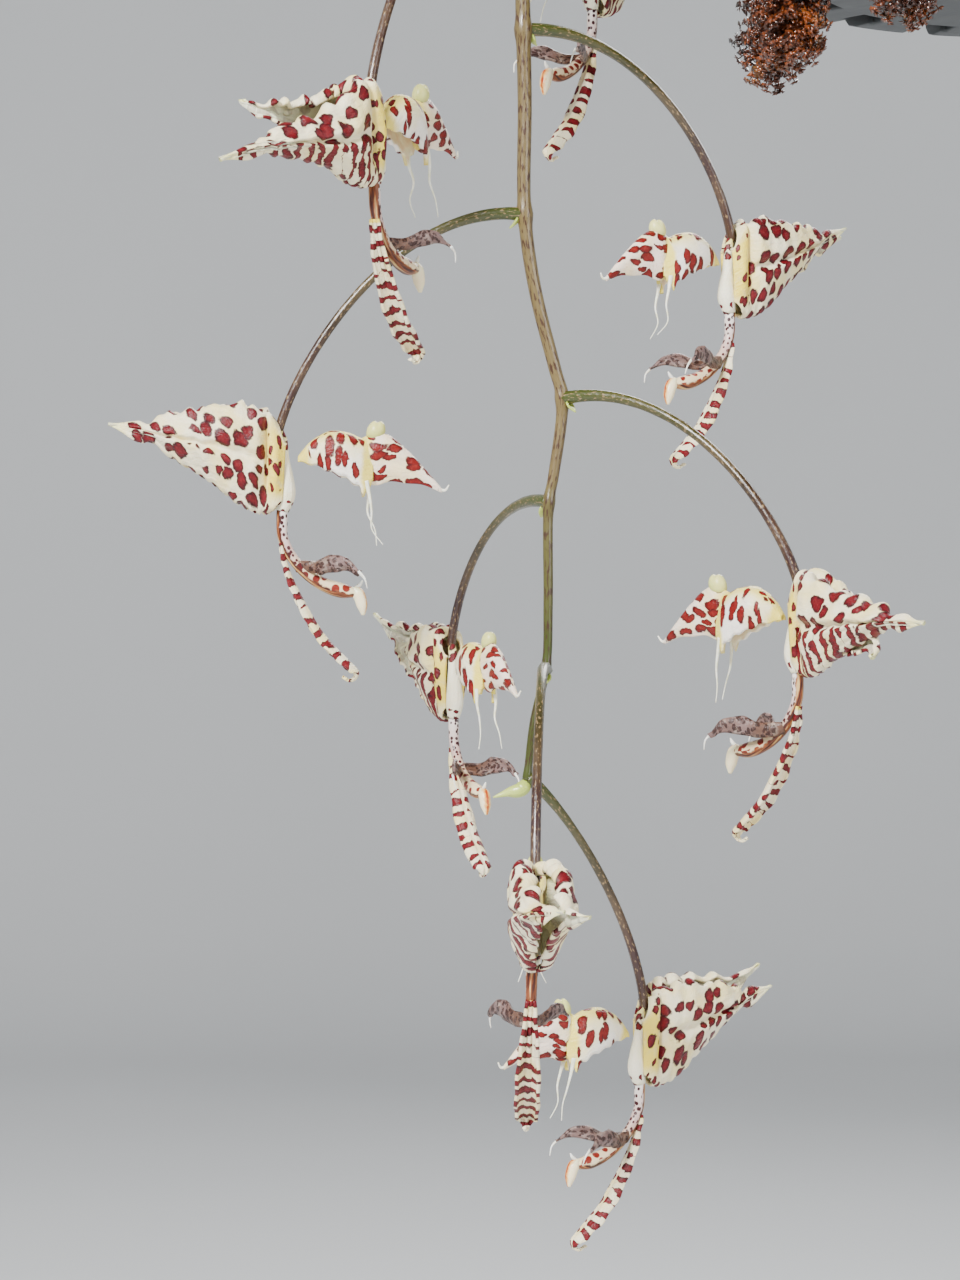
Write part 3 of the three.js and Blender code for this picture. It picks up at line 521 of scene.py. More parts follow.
def petal_skin(name, ground, base, base_reach, layers, spots, strength=1.0, hollow=0.25, tip=None, dusk=0.35,
               crest=None, waist=None, belly=None):
    """Petal tissue: waxy cells over soft flesh, which glow a little, with pigment in soft-edged spots.

    layers are the spots' patterns, and hollow how pale their hearts are. base_reach is the share of the
    length that the base's colour takes, as it does past waist and within crest of the middle. tip is the
    colour of the last part, dusk the strength of its grey clouds of painted shade, belly the shares across
    that bound the base.
    """
    material, add = new_material(
        name, Roughness=0.36, IOR=1.4, Subsurface_Weight=0.1, Subsurface_Scale=0.0012,
        Subsurface_Radius=(1.0, 0.45, 0.25), Specular_IOR_Level=0.4,
    )
    share, real = maps_of(add)
    place = real
    for scale, sway in ((0.42, 1.5), (2.6, 0.24)):
        wander = add("TexNoise", real, Scale=scale, Detail=3, **FLAT)
        stray = add("VectorMath", wander.outputs[1], (0.5, 0.5, 0.5), operation="SUBTRACT")
        place = add("VectorMath", stray, (sway, sway, 0), place, operation="MULTIPLY_ADD")
    depth = spots_of(add, place, share, *layers[0])
    for layer in layers[1:]:
        depth = add("Math", depth, spots_of(add, place, share, *layer), operation="MAXIMUM")
    inside = add("MapRange", depth, 0, 0.2, 0, strength, **SOFT)
    dark, deep, pale = spots
    heart = blend_colour(deep, pale, hollow)
    pigment = add("ValToRGB", depth, stops=[(0, dark), (0.25, dark), (0.5, deep), (1, heart)])
    patches = add("TexNoise", real, Scale=1.9, Detail=4, **FLAT)
    blotched = add("MixRGB", add("MapRange", patches, 0.45, 0.8, 0, 0.4, **SOFT), pigment, pale)
    edge = add("TexNoise", real, Scale=0.35, Detail=2, **FLAT)
    reach = add("Math", edge, 0.5 * base_reach, share, operation="MULTIPLY_ADD")
    yellow = add("MapRange", reach, 0.7 * base_reach, 1.3 * base_reach, 0.9, 0, **SOFT)
    if waist:
        past = add("MapRange", reach, waist, waist + 0.1, 0, 0.9, **SOFT)
        yellow = add("Math", yellow, past, operation="MAXIMUM")
    if belly:
        half = (belly[1] - belly[0]) / 2
        beside = apart(add, share.outputs[1], sum(belly) / 2)
        within = add("MapRange", beside, 0.7 * half, 1.2 * half, 1, 0.15, **SOFT)
        yellow = add("Math", yellow, within, operation="MULTIPLY")
    if crest:
        beside = apart(add, share.outputs[1], 0.5)
        top = add("MapRange", beside, 0.4 * crest, 1.3 * crest, 0.85, 0, **SOFT)
        yellow = add("Math", yellow, top, operation="MAXIMUM")
    warm = add("TexNoise", real, Scale=0.16, Detail=2, **FLAT)
    glow = add("MapRange", warm, 0.42, 0.68, 0, 0.5, **SOFT)
    tinted = add("MixRGB", yellow, add("MixRGB", glow, ground, blend_colour(ground, base, 0.75)), base)
    if tip:
        tinted = add("MixRGB", add("MapRange", share, 0.92, 1, **SOFT), tinted, tip)
    # Grey clouds of painted shade, as strong as dusk, over the tinted ground.
    cloud = add("TexNoise", real, Scale=0.5, Detail=3, **FLAT)
    shade = add("MapRange", cloud, 0.52, 0.78, 0, dusk, **SOFT)
    skin = add("MixRGB", inside, add("MixRGB", shade, tinted, linear("#c9b9a9")), blotched)
    # Fine veins run lengthwise, and the cells between them are about 0.3 mm wide.
    drawn = add("VectorMath", real, (0.35, 1.6, 1), operation="MULTIPLY")
    vein = add("TexNoise", drawn, Scale=1, Detail=2, **FLAT)
    grain = add("TexNoise", real, Scale=3.2, Detail=2, **FLAT)
    relief = add("Math", vein, 1.6, grain, operation="MULTIPLY_ADD")
    raised = add("Math", inside, 0.5, relief, operation="MULTIPLY_ADD")
    return finished(material, skin, raised, 0.5, 0.0002)


def plain_petal(name, colour, shade):
    """Petal tissue with no spots: waxy, faintly mottled, and a little translucent."""
    material, add = new_material(
        name, Roughness=0.35, IOR=1.42, Subsurface_Weight=0.15, Subsurface_Scale=0.0015,
        Subsurface_Radius=(1.0, 0.5, 0.3),
    )
    mottle = add("TexNoise", maps_of(add)[1], Scale=0.8, Detail=4, **FLAT)
    skin = add("ValToRGB", mottle, stops=shades_of((0.35, colour), (0.7, shade)))
    return finished(material, skin, mottle, 0.25, 0.00015)


def column_skin():
    """Column tissue: a waxy white front with small dark dots, blotched toward its winged end, and a back
    striped in orange and brown."""
    material, add = new_material(
        "column_tissue", Roughness=0.32, IOR=1.42, Subsurface_Weight=0.08, Subsurface_Scale=0.0012,
    )
    share, real = maps_of(add)
    # The seam faces +Y: the back is a quarter of the way round.
    turned = add("Math", share.outputs[1], FULL_TURN, -math.pi / 2, operation="MULTIPLY_ADD")
    facing = add("Math", turned, operation="COSINE")
    rough = add("TexNoise", real, Scale=0.8, Detail=3, **FLAT)
    wavering = add("Math", rough, 0.9, facing, operation="MULTIPLY_ADD")
    back = add("MapRange", wavering, 0.5, 0.85, **SOFT)
    drawn = add("VectorMath", real, (0.2, 1.9, 1), operation="MULTIPLY")
    streak = add("TexNoise", drawn, Scale=1, Detail=3, **FLAT)
    brown = add("ValToRGB", streak, stops=shades_of((0.3, "#cfae74"), (0.45, "#8a4a24"), (0.6, "#3d1711")))
    dots = spots_of(add, real, share, (0.95, 0.8), 0.34, 0.9, (-1, 0.62), ALL)
    blotches = spots_of(add, real, share, (1.5, 1.7), 0.42, 0.8, (0.5, 2), ALL)
    dotted = add("MapRange", add("Math", dots, blotches, operation="MAXIMUM"), 0, 0.25, **SOFT)
    pale = shades_of((0, "#efe9e2"), (0.4, "#c9a9a0"), (0.62, "#dcc19c"), (1, "#efdcae"))
    dark = shades_of((0, "#2a1016"), (0.5, "#431318"), (0.75, "#7a2218"))
    front = add("MixRGB", dotted, add("ValToRGB", share, stops=pale), add("ValToRGB", share, stops=dark))
    return finished(material, add("MixRGB", back, front, brown), streak, 0.3, 0.0002)


def cap_skin():
    """Anther cap: a waxy cream beak with an orange-red stripe down its front."""
    material, add = new_material(
        "anther_cap_tissue", Roughness=0.3, IOR=1.42, Subsurface_Weight=0.15, Subsurface_Scale=0.001,
    )
    share, real = maps_of(add)
    rough = add("TexNoise", real, Scale=1.6, Detail=2, **FLAT)
    wide = add("Math", rough, 0.12, apart(add, share.outputs[1], 0.75), operation="MULTIPLY_ADD")
    stripe = shades_of((0.06, "#a8380f"), (0.11, "#e0a04e"), (0.2, "#f3e4bb"))
    return finished(material, add("ValToRGB", wide, stops=stripe))


def stem_skin(name, stops, fleck_and_glint, cover, spacing=(1.7, 0.32)):
    """Stem: a waxy skin with fine lengthwise flecks of pigment, and a wet-looking sheen. The stalks' pale
    flecks are painted glints of highlight.
    """
    material, add = new_material(name, Roughness=0.34, IOR=1.45, Coat_Weight=0.4, Coat_Roughness=0.14)
    share, real = maps_of(add)
    drawn = add("VectorMath", real, (1 / spacing[0], 1 / spacing[1], 1), operation="MULTIPLY")
    speck = add("TexNoise", drawn, Scale=1, Detail=3, **FLAT)
    mask = add("MapRange", speck, cover, cover + 0.08, 0, 0.85, **SOFT)
    cloud = add("TexNoise", real, Scale=0.12, Detail=2, **FLAT)
    patch = add("MapRange", cloud, 0.4, 0.65, 0, 0.15, **SOFT)
    mottled = add("MixRGB", patch, add("ValToRGB", share, stops=stops), fleck_and_glint)
    return finished(material, add("MixRGB", mask, mottled, fleck_and_glint), speck, 0.5, 0.00015)


def leaf_skin(name, colour, pale, roughness):
    """Pleated leaf: a satin cuticle over green flesh, with pale parallel veins about 1.1 mm apart."""
    material, add = new_material(
        name, Roughness=roughness, IOR=1.42, Subsurface_Weight=0.06, Subsurface_Scale=0.001,
        Subsurface_Radius=(0.4, 1.0, 0.2),
    )
    share, real = maps_of(add)
    # 36 fine veins run from the stalk to the tip, and every sixth is a strong one on a fold.
    waves = []
    for veins in (36, 6):
        around = add("Math", share.outputs[1], veins * FULL_TURN, operation="MULTIPLY")
        waves.append(add("Math", around, operation="COSINE"))
    stripe = add("MapRange", waves[0], 0.5, 1, 0, 0.22)
    fold = add("MapRange", waves[1], 0.88, 1, 0, 0.55)
    veined = add("Math", fold, stripe, operation="MAXIMUM")
    cloud = add("TexNoise", real, Scale=0.045, Detail=5, **FLAT)
    deep, light = blend_colour(colour, linear("#1d3a12"), 0.45), blend_colour(colour, pale, 0.5)
    green = add("ValToRGB", cloud, stops=[(0.3, deep), (0.55, colour), (0.8, light)])
    tip = add("MapRange", share, 0.955, 0.99, **SOFT)
    skin = add("MixRGB", tip, add("MixRGB", veined, green, pale), linear("#8d6b3a"))
    height = add("Math", waves[0], 0.5, cloud, operation="MULTIPLY_ADD")
    return finished(material, skin, height, 0.35, 0.0003)


def bulb_skin(colour):
    """Pseudobulb: a hard waxy skin, yellower on its ribs and scuffed with cork. It is darker in its grooves,
    which is painted shade.
    """
    material, add = new_material("pseudobulb_cuticle", Roughness=0.4, IOR=1.42)
    share, real = maps_of(add)
    around = add("Math", share.outputs[1], BULB["ribs"] * FULL_TURN, operation="MULTIPLY")
    ridge = add("MapRange", add("Math", around, operation="COSINE"), -1, 1)
    deep, light = blend_colour(colour, linear("#33471b"), 0.7), blend_colour(colour, linear("#c9c46c"), 0.5)
    # The darker green in the grooves is painted shade.
    green = add("ValToRGB", ridge, stops=[(0, deep), (0.5, colour), (1, light)])
    drawn = add("VectorMath", real, (0.12, 0.5, 1), operation="MULTIPLY")
    cloud = add("TexNoise", drawn, Scale=1, Detail=5, **FLAT)
    cork = add("MapRange", cloud, 0.58, 0.68, 0, 0.6)
    return finished(material, add("MixRGB", cork, green, linear("#9c8a4f")), cloud, 0.35, 0.0004)


def fibre_skin(name, pale, dark, roughness, spacing=(6.0, 0.5)):
    """Dry plant fibre, such as a bulb's sheath: matt lengthwise strands about half a millimetre apart."""
    material, add = new_material(name, Roughness=roughness, IOR=1.45)
    real = maps_of(add)[1]
    drawn = add("VectorMath", real, (1 / spacing[0], 1 / spacing[1], 1), operation="MULTIPLY")
    strand = add("TexNoise", drawn, Scale=1, Detail=4, **FLAT)
    skin = add("ValToRGB", strand, stops=shades_of((0.35, dark), (0.62, pale)))
    return finished(material, skin, strand, 0.5, 0.0004)


def litter_skin(name, stops, roughness, grain, coat=0.0):
    """Bark or moss, by place: grain is its texture's size in millimetres, coat the film of water on it."""
    material, add = new_material(name, Roughness=roughness, IOR=1.4, Coat_Weight=coat, Coat_Roughness=0.12)
    place = add("TexCoord").outputs["Object"]
    patch = add("TexNoise", place, Scale=0.12 / (grain * MM), Detail=6)
    fine = add("TexNoise", place, Scale=1 / (grain * MM), Detail=4)
    both = add("Math", fine, 0.35, patch, operation="MULTIPLY_ADD")
    return finished(material, add("ValToRGB", both, stops=stops), fine, 0.6, 0.4 * grain * MM)


def pot_plastic(colour):
    """Injection-moulded polypropylene: satin, with a fine spark-eroded grain and a few pale scuffs."""
    material, add = new_material("moulded_polypropylene", Roughness=0.45, IOR=1.49)
    place = add("TexCoord").outputs["Object"]
    grain = add("TexNoise", place, Scale=1 / (0.8 * MM), Detail=3)
    smear = add("VectorMath", place, (1, 1, 0.25), operation="MULTIPLY")
    scuff = add("TexNoise", smear, Scale=45, Detail=7)
    worn = add("MapRange", scuff, 0.56, 0.74, 0, 0.5)
    skin = add("MixRGB", worn, colour, blend_colour(colour, linear("#8b8477"), 0.6))
    return finished(material, skin, grain, 0.2, 0.00015, add("MapRange", scuff, 0.3, 0.75, 0.36, 0.62))


def zinc_wire(colour):
    """Galvanised steel wire: drawn, then hot-dipped, so its zinc is dull with brighter patches."""
    material, add = new_material("galvanised_wire", Metallic=1.0, Roughness=0.4)
    patch = add("TexNoise", add("TexCoord").outputs["Object"], Scale=1 / (4 * MM), Detail=5)
    skin = add(
        "ValToRGB", patch, stops=[(0.35, blend_colour(colour, linear("#5d6063"), 0.6)), (0.65, colour)],
    )
    return finished(material, skin, patch, 0.25, 0.0001, add("MapRange", patch, 0, 1, 0.55, 0.28))


# Settings.


def colour_setting(name, description, colour):
    return bpy.props.FloatVectorProperty(
        name=name, description=description, subtype="COLOR", size=4, default=linear(colour),
    )


def thickness_setting(name, description, default, low, high):
    return bpy.props.FloatProperty(
        name=name, description=description, default=default, min=low, max=high, precision=5, unit="LENGTH",
    )


class OrchidBloomSettings(bpy.types.PropertyGroup):
    """Sizes and colours of the blooms and their stem."""

    petal_thickness: thickness_setting(
        "Petal thickness", "Thickness of the sepals, petals and lip", 0.0005, 0.0002, 0.001,
    )
    ground: colour_setting("Petal ground", "Cream ground of the sepals", "#eee2c0")
    base: colour_setting("Sepal base", "Yellow at the base of each sepal", "#ebcf3c")
    reverse: colour_setting("Sepal inside", "Grey-green inner face of the sepals", "#d3d2b8")
    spot_rim: colour_setting("Spot rim", "Dark rim of the spots", "#30040b")
    spot: colour_setting("Spot", "Crimson of the spots", "#5c0812")
    spot_heart: colour_setting("Spot heart", "Paler red at the heart of a spot", "#8c2426")
    stem: colour_setting("Stem", "Tan of the hanging stem", "#6a5a36")
    stalk_green: colour_setting("Stalk near the stem", "Olive of the stalks near the stem", "#38400c")
    stalk_red: colour_setting("Stalk near the bloom", "Brown of the stalks near the blooms", "#2e120e")

    def spots(self):
        return tuple(self.spot_rim), tuple(self.spot), tuple(self.spot_heart)


class OrchidPlantSettings(bpy.types.PropertyGroup):
    """Sizes and colours of the plant in the pot."""

    leaf_thickness: thickness_setting("Leaf thickness", "Thickness of a leaf", 0.0006, 0.0002, 0.0015)
    leaf: colour_setting("Leaf", "Green of the leaves' upper face", "#4a7a2c")
    leaf_under: colour_setting("Leaf underside", "Paler green under the leaves", "#6f9448")
    bulb: colour_setting("Pseudobulb", "Green of the pseudobulbs", "#7c9440")
    moss: colour_setting("Moss", "Orange-brown of the wet sphagnum", "#431c09")
    bark: colour_setting("Bark", "Brown of the fir bark", "#6b452b")


class OrchidPotSettings(bpy.types.PropertyGroup):
    """Sizes and colours of the pot and its hanger."""

    wall: thickness_setting("Pot wall", "Thickness of the pot's wall", 0.0022, 0.001, 0.004)
    wire_radius: thickness_setting(
        "Hanger wire radius", "Radius of the three hanger wires", 0.0011, 0.0006, 0.002,
    )
    plastic: colour_setting("Pot", "Dark grey of the pot", "#2b2f31")
    zinc: colour_setting("Zinc", "Grey of the galvanised wire", "#c2c5c8")


# The pieces.


class ORCHID_OT_pot(bpy.types.Operator):
    """Add the slotted pot"""

    bl_idname = "orchid.add_pot"
    bl_label = "Pot"

    def execute(self, context):
        stand_for(build_pot(context.scene.orchid_pot), "pot")
        return {"FINISHED"}


def build_pot(settings):
    """A tapered cup with a broad lip: a wrapped sheet with its slots cut out, then thickened."""
    columns_per_slot = 12
    base, rim, lip, top = POT["base_radius"], POT["rim_radius"], POT["lip_radius"], POT["slot_top"]
    lip_z = POT["rim_z"] - 0.5 * POT["lip_height"]
    outline = [(reach, POT_BASE_Z) for reach in (0.01, 12, 24, base - POT["slot_depth"], base - 6, base - 3)]
    outline += [(base - 1.2, POT_BASE_Z + 0.5), (base - 0.3, POT_BASE_Z + 1.6)]
    heights = [4, 12, 20, 28, 36, 44, 52, top - 4, top - 1.5, top, 66, 74, 84, 96, 106]
    outline += [(base + TAPER * up, POT_BASE_Z + up) for up in heights]
    outline += [
        (rim + 0.2, lip_z - 1.2), (rim + 1.2, lip_z - 0.2), (rim + 3, lip_z), (lip - 2.5, lip_z),
        (lip - 0.9, lip_z - 0.3), (lip - 0.2, lip_z - 1.2), (lip - 0.1, lip_z - 3.4),
    ]
    rows = len(outline) - 1

    def place(u, v):
        radius, z = outline[round(u * rows)]
        return heading(360 * v + 180 / POT["slots"]) * radius + UP * z

    pot = lay_sheet("pot_shell", rows, columns_per_slot * POT["slots"], place)
    cut_slots(pot)
    plastic = pot_plastic(settings.plastic)
    thicken(close_up(pot, 5e-5), settings.wall, plastic, plastic)
    apply_modifier(pot, "BEVEL", width=0.0004, segments=2, limit_method="ANGLE", angle_limit=math.radians(50))
    activate(pot)
    bpy.ops.object.shade_smooth_by_angle(angle=math.radians(40))
    return pot


def cut_slots(pot):
    """Deletes the faces in each slot: from under the base's edge to the slot's top."""
    mesh = bmesh.new()
    mesh.from_mesh(pot.data)
    half = 0.5 * POT["slot_width"] * MM
    slot_step = FULL_TURN / POT["slots"]
    doomed = []
    for face in mesh.faces:
        centre = face.calc_center_median()
        radius = math.hypot(centre.x, centre.y)
        turn = math.atan2(centre.y, centre.x) / slot_step
        off = abs((turn + 0.5) - round(turn + 0.5)) * slot_step * radius
        above = centre.z / MM - POT_BASE_Z
        if off < half and radius > (POT["base_radius"] - POT["slot_depth"]) * MM and above < POT["slot_top"]:
            doomed.append(face)
    bmesh.ops.delete(mesh, geom=doomed, context="FACES")
    mesh.to_mesh(pot.data)
    mesh.free()


class ORCHID_OT_hanger(bpy.types.Operator):
    """Add the hook and the three hanger wires"""

    bl_idname = "orchid.add_hanger"
    bl_label = "Hanger"

    def execute(self, context):
        settings = context.scene.orchid_pot
        zinc = zinc_wire(settings.zinc)
        turns = [math.radians(turn) for turn in (-25, 10, 45, 80, 115, 150, 185, 215)]
        bend, middle = HOOK["bend"], HOOK["wire"] - HOOK["bend"]
        crook = [(bend * math.cos(turn), middle + bend * math.sin(turn)) for turn in turns]
        shank = [(-3.5, -29), (0, -37), (0, HOOK["collar_top"] - 6)]
        wire = lay_tube("crook", upright(crook + shank), lambda share: HOOK["wire"], 90, 14, zinc)
        stand_for(joined("hanger_hook_wire", [wire, build_collar(zinc)]), "hanger_hook")
        for index, turn in enumerate(HANGER_WIRE["directions"], 1):
            wire = build_hanger_wire(turn, settings.wire_radius / MM, zinc)
            stand_for(named(wire, f"hanger_wire_{index}_drawn"), f"hanger_wire_{index}")
        return {"FINISHED"}


def build_collar(zinc):
    """The collar that gathers the wires: a turned ferrule with two crimped grooves."""
    foot = HOOK["collar_top"] - HOOK["collar_height"]
    line = Course([(0, 0, HOOK["collar_top"]), (0, 0, foot)], 4)
    full = HOOK["collar_radius"]

    def radius(share):
        ends = min(1.0, 0.55 + 5 * share, 0.75 + 4 * (1 - share))
        return full * ends - 0.45 * (hump(share, 0.3, 0.04) + hump(share, 0.68, 0.04))

    return lay_tube("collar", line, radius, 48, 36, zinc, side=(1, 0, 0))


def build_hanger_wire(turn, radius, zinc):
    """A wire from the collar to the rim, down through the lip and turned up under the lip."""
    out = heading(turn)
    root, collar, hole = HANGER_WIRE["root"], HOOK["collar_top"], HANGER_WIRE["hole"]
    rim, under = POT["rim_z"], POT["rim_z"] - POT["lip_height"]
    knots = [
        (root, collar - 7), (root + 0.4, collar - 12), (root + 1.6, collar - 16), (hole - 3.4, rim + 12.5),
        (hole - 1.2, rim + 5.6), (hole, rim + 1), (hole, under - 2.2), (hole + 0.7, under - 4.4),
        (hole + 2.4, under - 5.3), (hole + 4.1, under - 4.4), (hole + 4.7, under - 3.2),
    ]
    course = Course([out * reach + UP * z for reach, z in knots], 10)
    return lay_tube("wire", course, lambda share: radius, 90, 10, zinc, side=UP.cross(out))


class ORCHID_OT_medium(bpy.types.Operator):
    """Add the bark and moss in the pot, and the moss that hangs out under it"""

    bl_idname = "orchid.add_medium"
    bl_label = "Growing medium"

    def execute(self, context):
        settings = context.scene.orchid_plant
        torn = blend_colour(settings.bark, linear("#b38a62"), 0.6)
        shades = [(0.45, linear("#2c1a11")), (0.62, settings.bark), (0.85, torn)]
        bark = litter_skin("fir_bark", shades, 0.75, 2.0)
        shades = [(0.44, linear("#120804")), (0.6, settings.moss)]
        # The bright orange stop is painted highlight on the wet moss.
        shades += shades_of((0.74, "#7d3a10"), (0.95, "#4f4a1c"))
        moss = litter_skin("wet_sphagnum", shades, 0.35, 1.6, coat=1.0)
        pieces = [build_heap(bark), build_bark(bark)]
        stand_for(joined("medium_bark", pieces), "growing_medium")
        sprig = build_sprig(moss)
        stand_for(build_moss(sprig), "growing_medium")
        bpy.data.objects.remove(sprig)
        return {"FINISHED"}


def medium_height(x, y):
    """How high the domed medium is at a place."""
    share = math.hypot(x, y) / POT["rim_radius"]
    edge = MEDIUM["edge_below_rim"]
    return POT["rim_z"] - edge + (edge + MEDIUM["crown"]) * (1 - share * share)


def inside_radius(z):
    """How far the medium may reach inside the pot's wall at a height."""
    return POT["base_radius"] - 2.2 - 2 * CLEARANCE + TAPER * (z - POT_BASE_Z)


def build_heap(bark):
    """The heap that fills the pot: a domed, lumpy closed solid seen between the chips and in the slots."""
    edge = POT["rim_z"] - MEDIUM["edge_below_rim"]
    foot = POT_BASE_Z + 2.6
    outline = [(0.01, foot), (20, foot), (inside_radius(foot) - 1, foot)]
    outline += [(inside_radius(foot + up) - 0.8, foot + up) for up in range(4, 96, 5)]
    shares = (1, 0.93, 0.84, 0.72, 0.58, 0.44, 0.3, 0.16, 0.001)
    outline += [(inside_radius(edge) * share, edge) for share in shares]
    rows = len(outline) - 1

    def place(u, v):
        radius, z = outline[round(u * rows)]
        spot = heading(360 * v) * radius
        lump = noise.noise(Vector((spot.x, spot.y, z)) * 0.16)
        if z >= edge:
            return spot + UP * (medium_height(spot.x, spot.y) - 1.5 + 1.6 * lump)
        return heading(360 * v) * (radius - 0.9 + 0.9 * lump) + UP * z

    return coated(close_up(lay_sheet("heap", rows, 72, place)), bark)


def build_chip(bark):
    """One chip of bark: a torn block of 24 faces, worked into shape."""
    bpy.ops.mesh.primitive_cube_add(size=2 * MM)
    chip = edited(bpy.context.object, subdivide={"number_cuts": 1})
    for vertex in chip.data.vertices:
        push = noise.noise_vector(vertex.co * 900) * 0.45 * MM
        vertex.co = Vector((vertex.co.x * 1.7, vertex.co.y, vertex.co.z * 0.45)) + push
    return coated(chip, bark)


def on_bulb(spot, share):
    """Whether the spot lies within a share of a bulb's radius."""
    return any((spot - Vector((*bulb[0], 0))).length < bulb[1] * share for bulb in BULBS)


def pointed(spot, facing, turn, size):
    """Stands a model at the spot, in millimetres, with its top facing one way."""
    aim = facing.to_track_quat("Z", "Y").to_matrix().to_4x4()
    return Matrix.Translation(spot * MM) @ aim @ turn.to_4x4() @ Matrix.Scale(size, 4)


def build_bark(bark):
    """Chips of bark strewn over the heap, and pressed against the pot's wall where the slots show them."""
    chip = build_chip(bark)
    draw = random.Random(4)
    places = []

    def lay(spot, facing, size, slant):
        tilt = Euler((draw.gauss(0, slant), draw.gauss(0, slant), draw.uniform(0, 6.3))).to_matrix()
        places.append(pointed(spot, facing, tilt, size))

    for _ in range(230):
        reach = inside_radius(POT["rim_z"] - 12) * math.sqrt(draw.random()) * 0.97
        spot = heading(360 * draw.random()) * reach
        if on_bulb(spot, 0.92) or (spot - STEM_ROOT).length < 4:
            continue
        size = draw.uniform(1.6, 3.4)
        lay(spot + UP * (medium_height(spot.x, spot.y) - 0.9 + 0.25 * size), UP, size, 0.3)
    for slot in range(POT["slots"]):
        for level in range(9):
            out = heading(360 * (slot + 0.5) / POT["slots"] + draw.uniform(-3, 3))
            up = 6 + 6.5 * level + draw.uniform(-2, 2)
            spot = out * (inside_radius(POT_BASE_Z + up) - 2.3) + UP * (POT_BASE_Z + up)
            lay(spot, out, draw.uniform(1.7, 2.6), 0.35)
    strewn = scattered("chips", chip, places)
    bpy.data.objects.remove(chip)
    return strewn


def build_sprig(moss):
    """A sprig of sphagnum, 8 mm long: a three-sided stalk and 13 drooping leaflets of four faces each."""
    vertices, faces = [], []
    draw = random.Random(9)

    def leaflet(root, out, drop, length, width):
        across = out.cross(UP).normalized() * width
        middle = root + out * length * 0.45 + UP * drop * 0.25
        start = len(vertices)
        vertices.extend([root, middle - across, middle + across, root + out * length + UP * drop])
        vertices[start + 1] = vertices[start + 1] + UP * width * 0.8
        faces.extend([(start, start + 1, start + 2), (start + 3, start + 2, start + 1)])
        faces.extend([(start, start + 2, start + 3), (start, start + 3, start + 1)])

    for arm in range(8):
        out = heading(137 * arm + draw.uniform(-12, 12))
        leaflet(UP * (0.4 + 0.9 * arm), out, draw.uniform(-1.9, -0.5), draw.uniform(2.1, 3.0), 1.1)
    for arm in range(5):
        out = heading(72 * arm + draw.uniform(-12, 12))
        leaflet(UP * 7.6, out, draw.uniform(0.0, 1.8), draw.uniform(1.5, 2.4), 1.1)
    start = len(vertices)
    for level in (0, 8):
        vertices.extend([heading(120 * arm) * (0.42 - 0.03 * level) + UP * level for arm in range(3)])
    sides = [(start + i, start + (i + 1) % 3, start + 3 + (i + 1) % 3, start + 3 + i) for i in range(3)]
    faces.extend(sides + [(start + 2, start + 1, start), (start + 3, start + 4, start + 5)])
    mesh = bpy.data.meshes.new("sprig")
    mesh.from_pydata([vertex * MM for vertex in vertices], [], faces)
    sprig = edited(in_scene("sprig", mesh), normals_make_consistent={"inside": False})
    return coated(sprig, moss)


def build_moss(sprig):
    """Sprigs gathered in tufts under the pot, in its slots and here and there on the bark."""
    draw = random.Random(21)
    places = []

    def plant(spot, pointing, size):
        spin = Matrix.Rotation(draw.uniform(0, 6.3), 3, "Z")
        places.append(pointed(spot, pointing.normalized(), spin, size))

    neck = POT["base_radius"] - POT["slot_depth"] / 2
    for slot, length, girth, lean in MOSS_TUFTS:
        out = heading(360 * (slot - 0.5) / POT["slots"])
        root = out * neck + UP * (POT_BASE_Z + 1)
        core = out * (neck + 0.45 * lean) + UP * (POT_BASE_Z - 0.5 * length)
        for _ in range(int(20 * girth)):
            around = heading(draw.uniform(0, 360))
            level = draw.uniform(-1, 1)
            width = math.sqrt(max(0.0, 1 - level * level))
            clump = 0.75 + 0.5 * noise.noise(Vector((around.x * 2, around.y * 2, level * 2 + slot)))
            spot = core + around * (0.5 * girth * width * clump) + UP * (level * 0.38 * length)
            pointing = around * (0.3 + width) + UP * (level * 0.8 - 0.7)
            plant(spot, pointing, draw.uniform(0.34, 0.55))
        for _ in range(14):
            spot = root + heading(draw.uniform(0, 360)) * 1.4
            plant(spot, Vector((draw.gauss(0, 0.2), draw.gauss(0, 0.2), -1)), draw.uniform(0.4, 0.65))
    for _ in range(260):
        turn = 360 * (draw.randrange(POT["slots"]) + 0.5) / POT["slots"]
        up = draw.uniform(4, 58)
        out = heading(turn + draw.uniform(-2.2, 2.2))
        spot = out * (inside_radius(POT_BASE_Z + up) - 1.6) + UP * (POT_BASE_Z + up)
        pointing = heading(turn + draw.uniform(-70, 70)) + UP * draw.uniform(-1.6, 1.6)
        plant(spot, pointing, draw.uniform(0.25, 0.42))
    for _ in range(230):
        reach = inside_radius(POT["rim_z"] - 12)
        spot = heading(draw.uniform(0, 360)) * reach * math.sqrt(draw.random()) * 0.95
        if on_bulb(spot, 1):
            continue
        spot.z = medium_height(spot.x, spot.y) - 0.5
        plant(spot, Vector((draw.gauss(0, 0.7), draw.gauss(0, 0.7), 1)), draw.uniform(0.4, 0.75))
    return scattered("medium_moss", sprig, places)


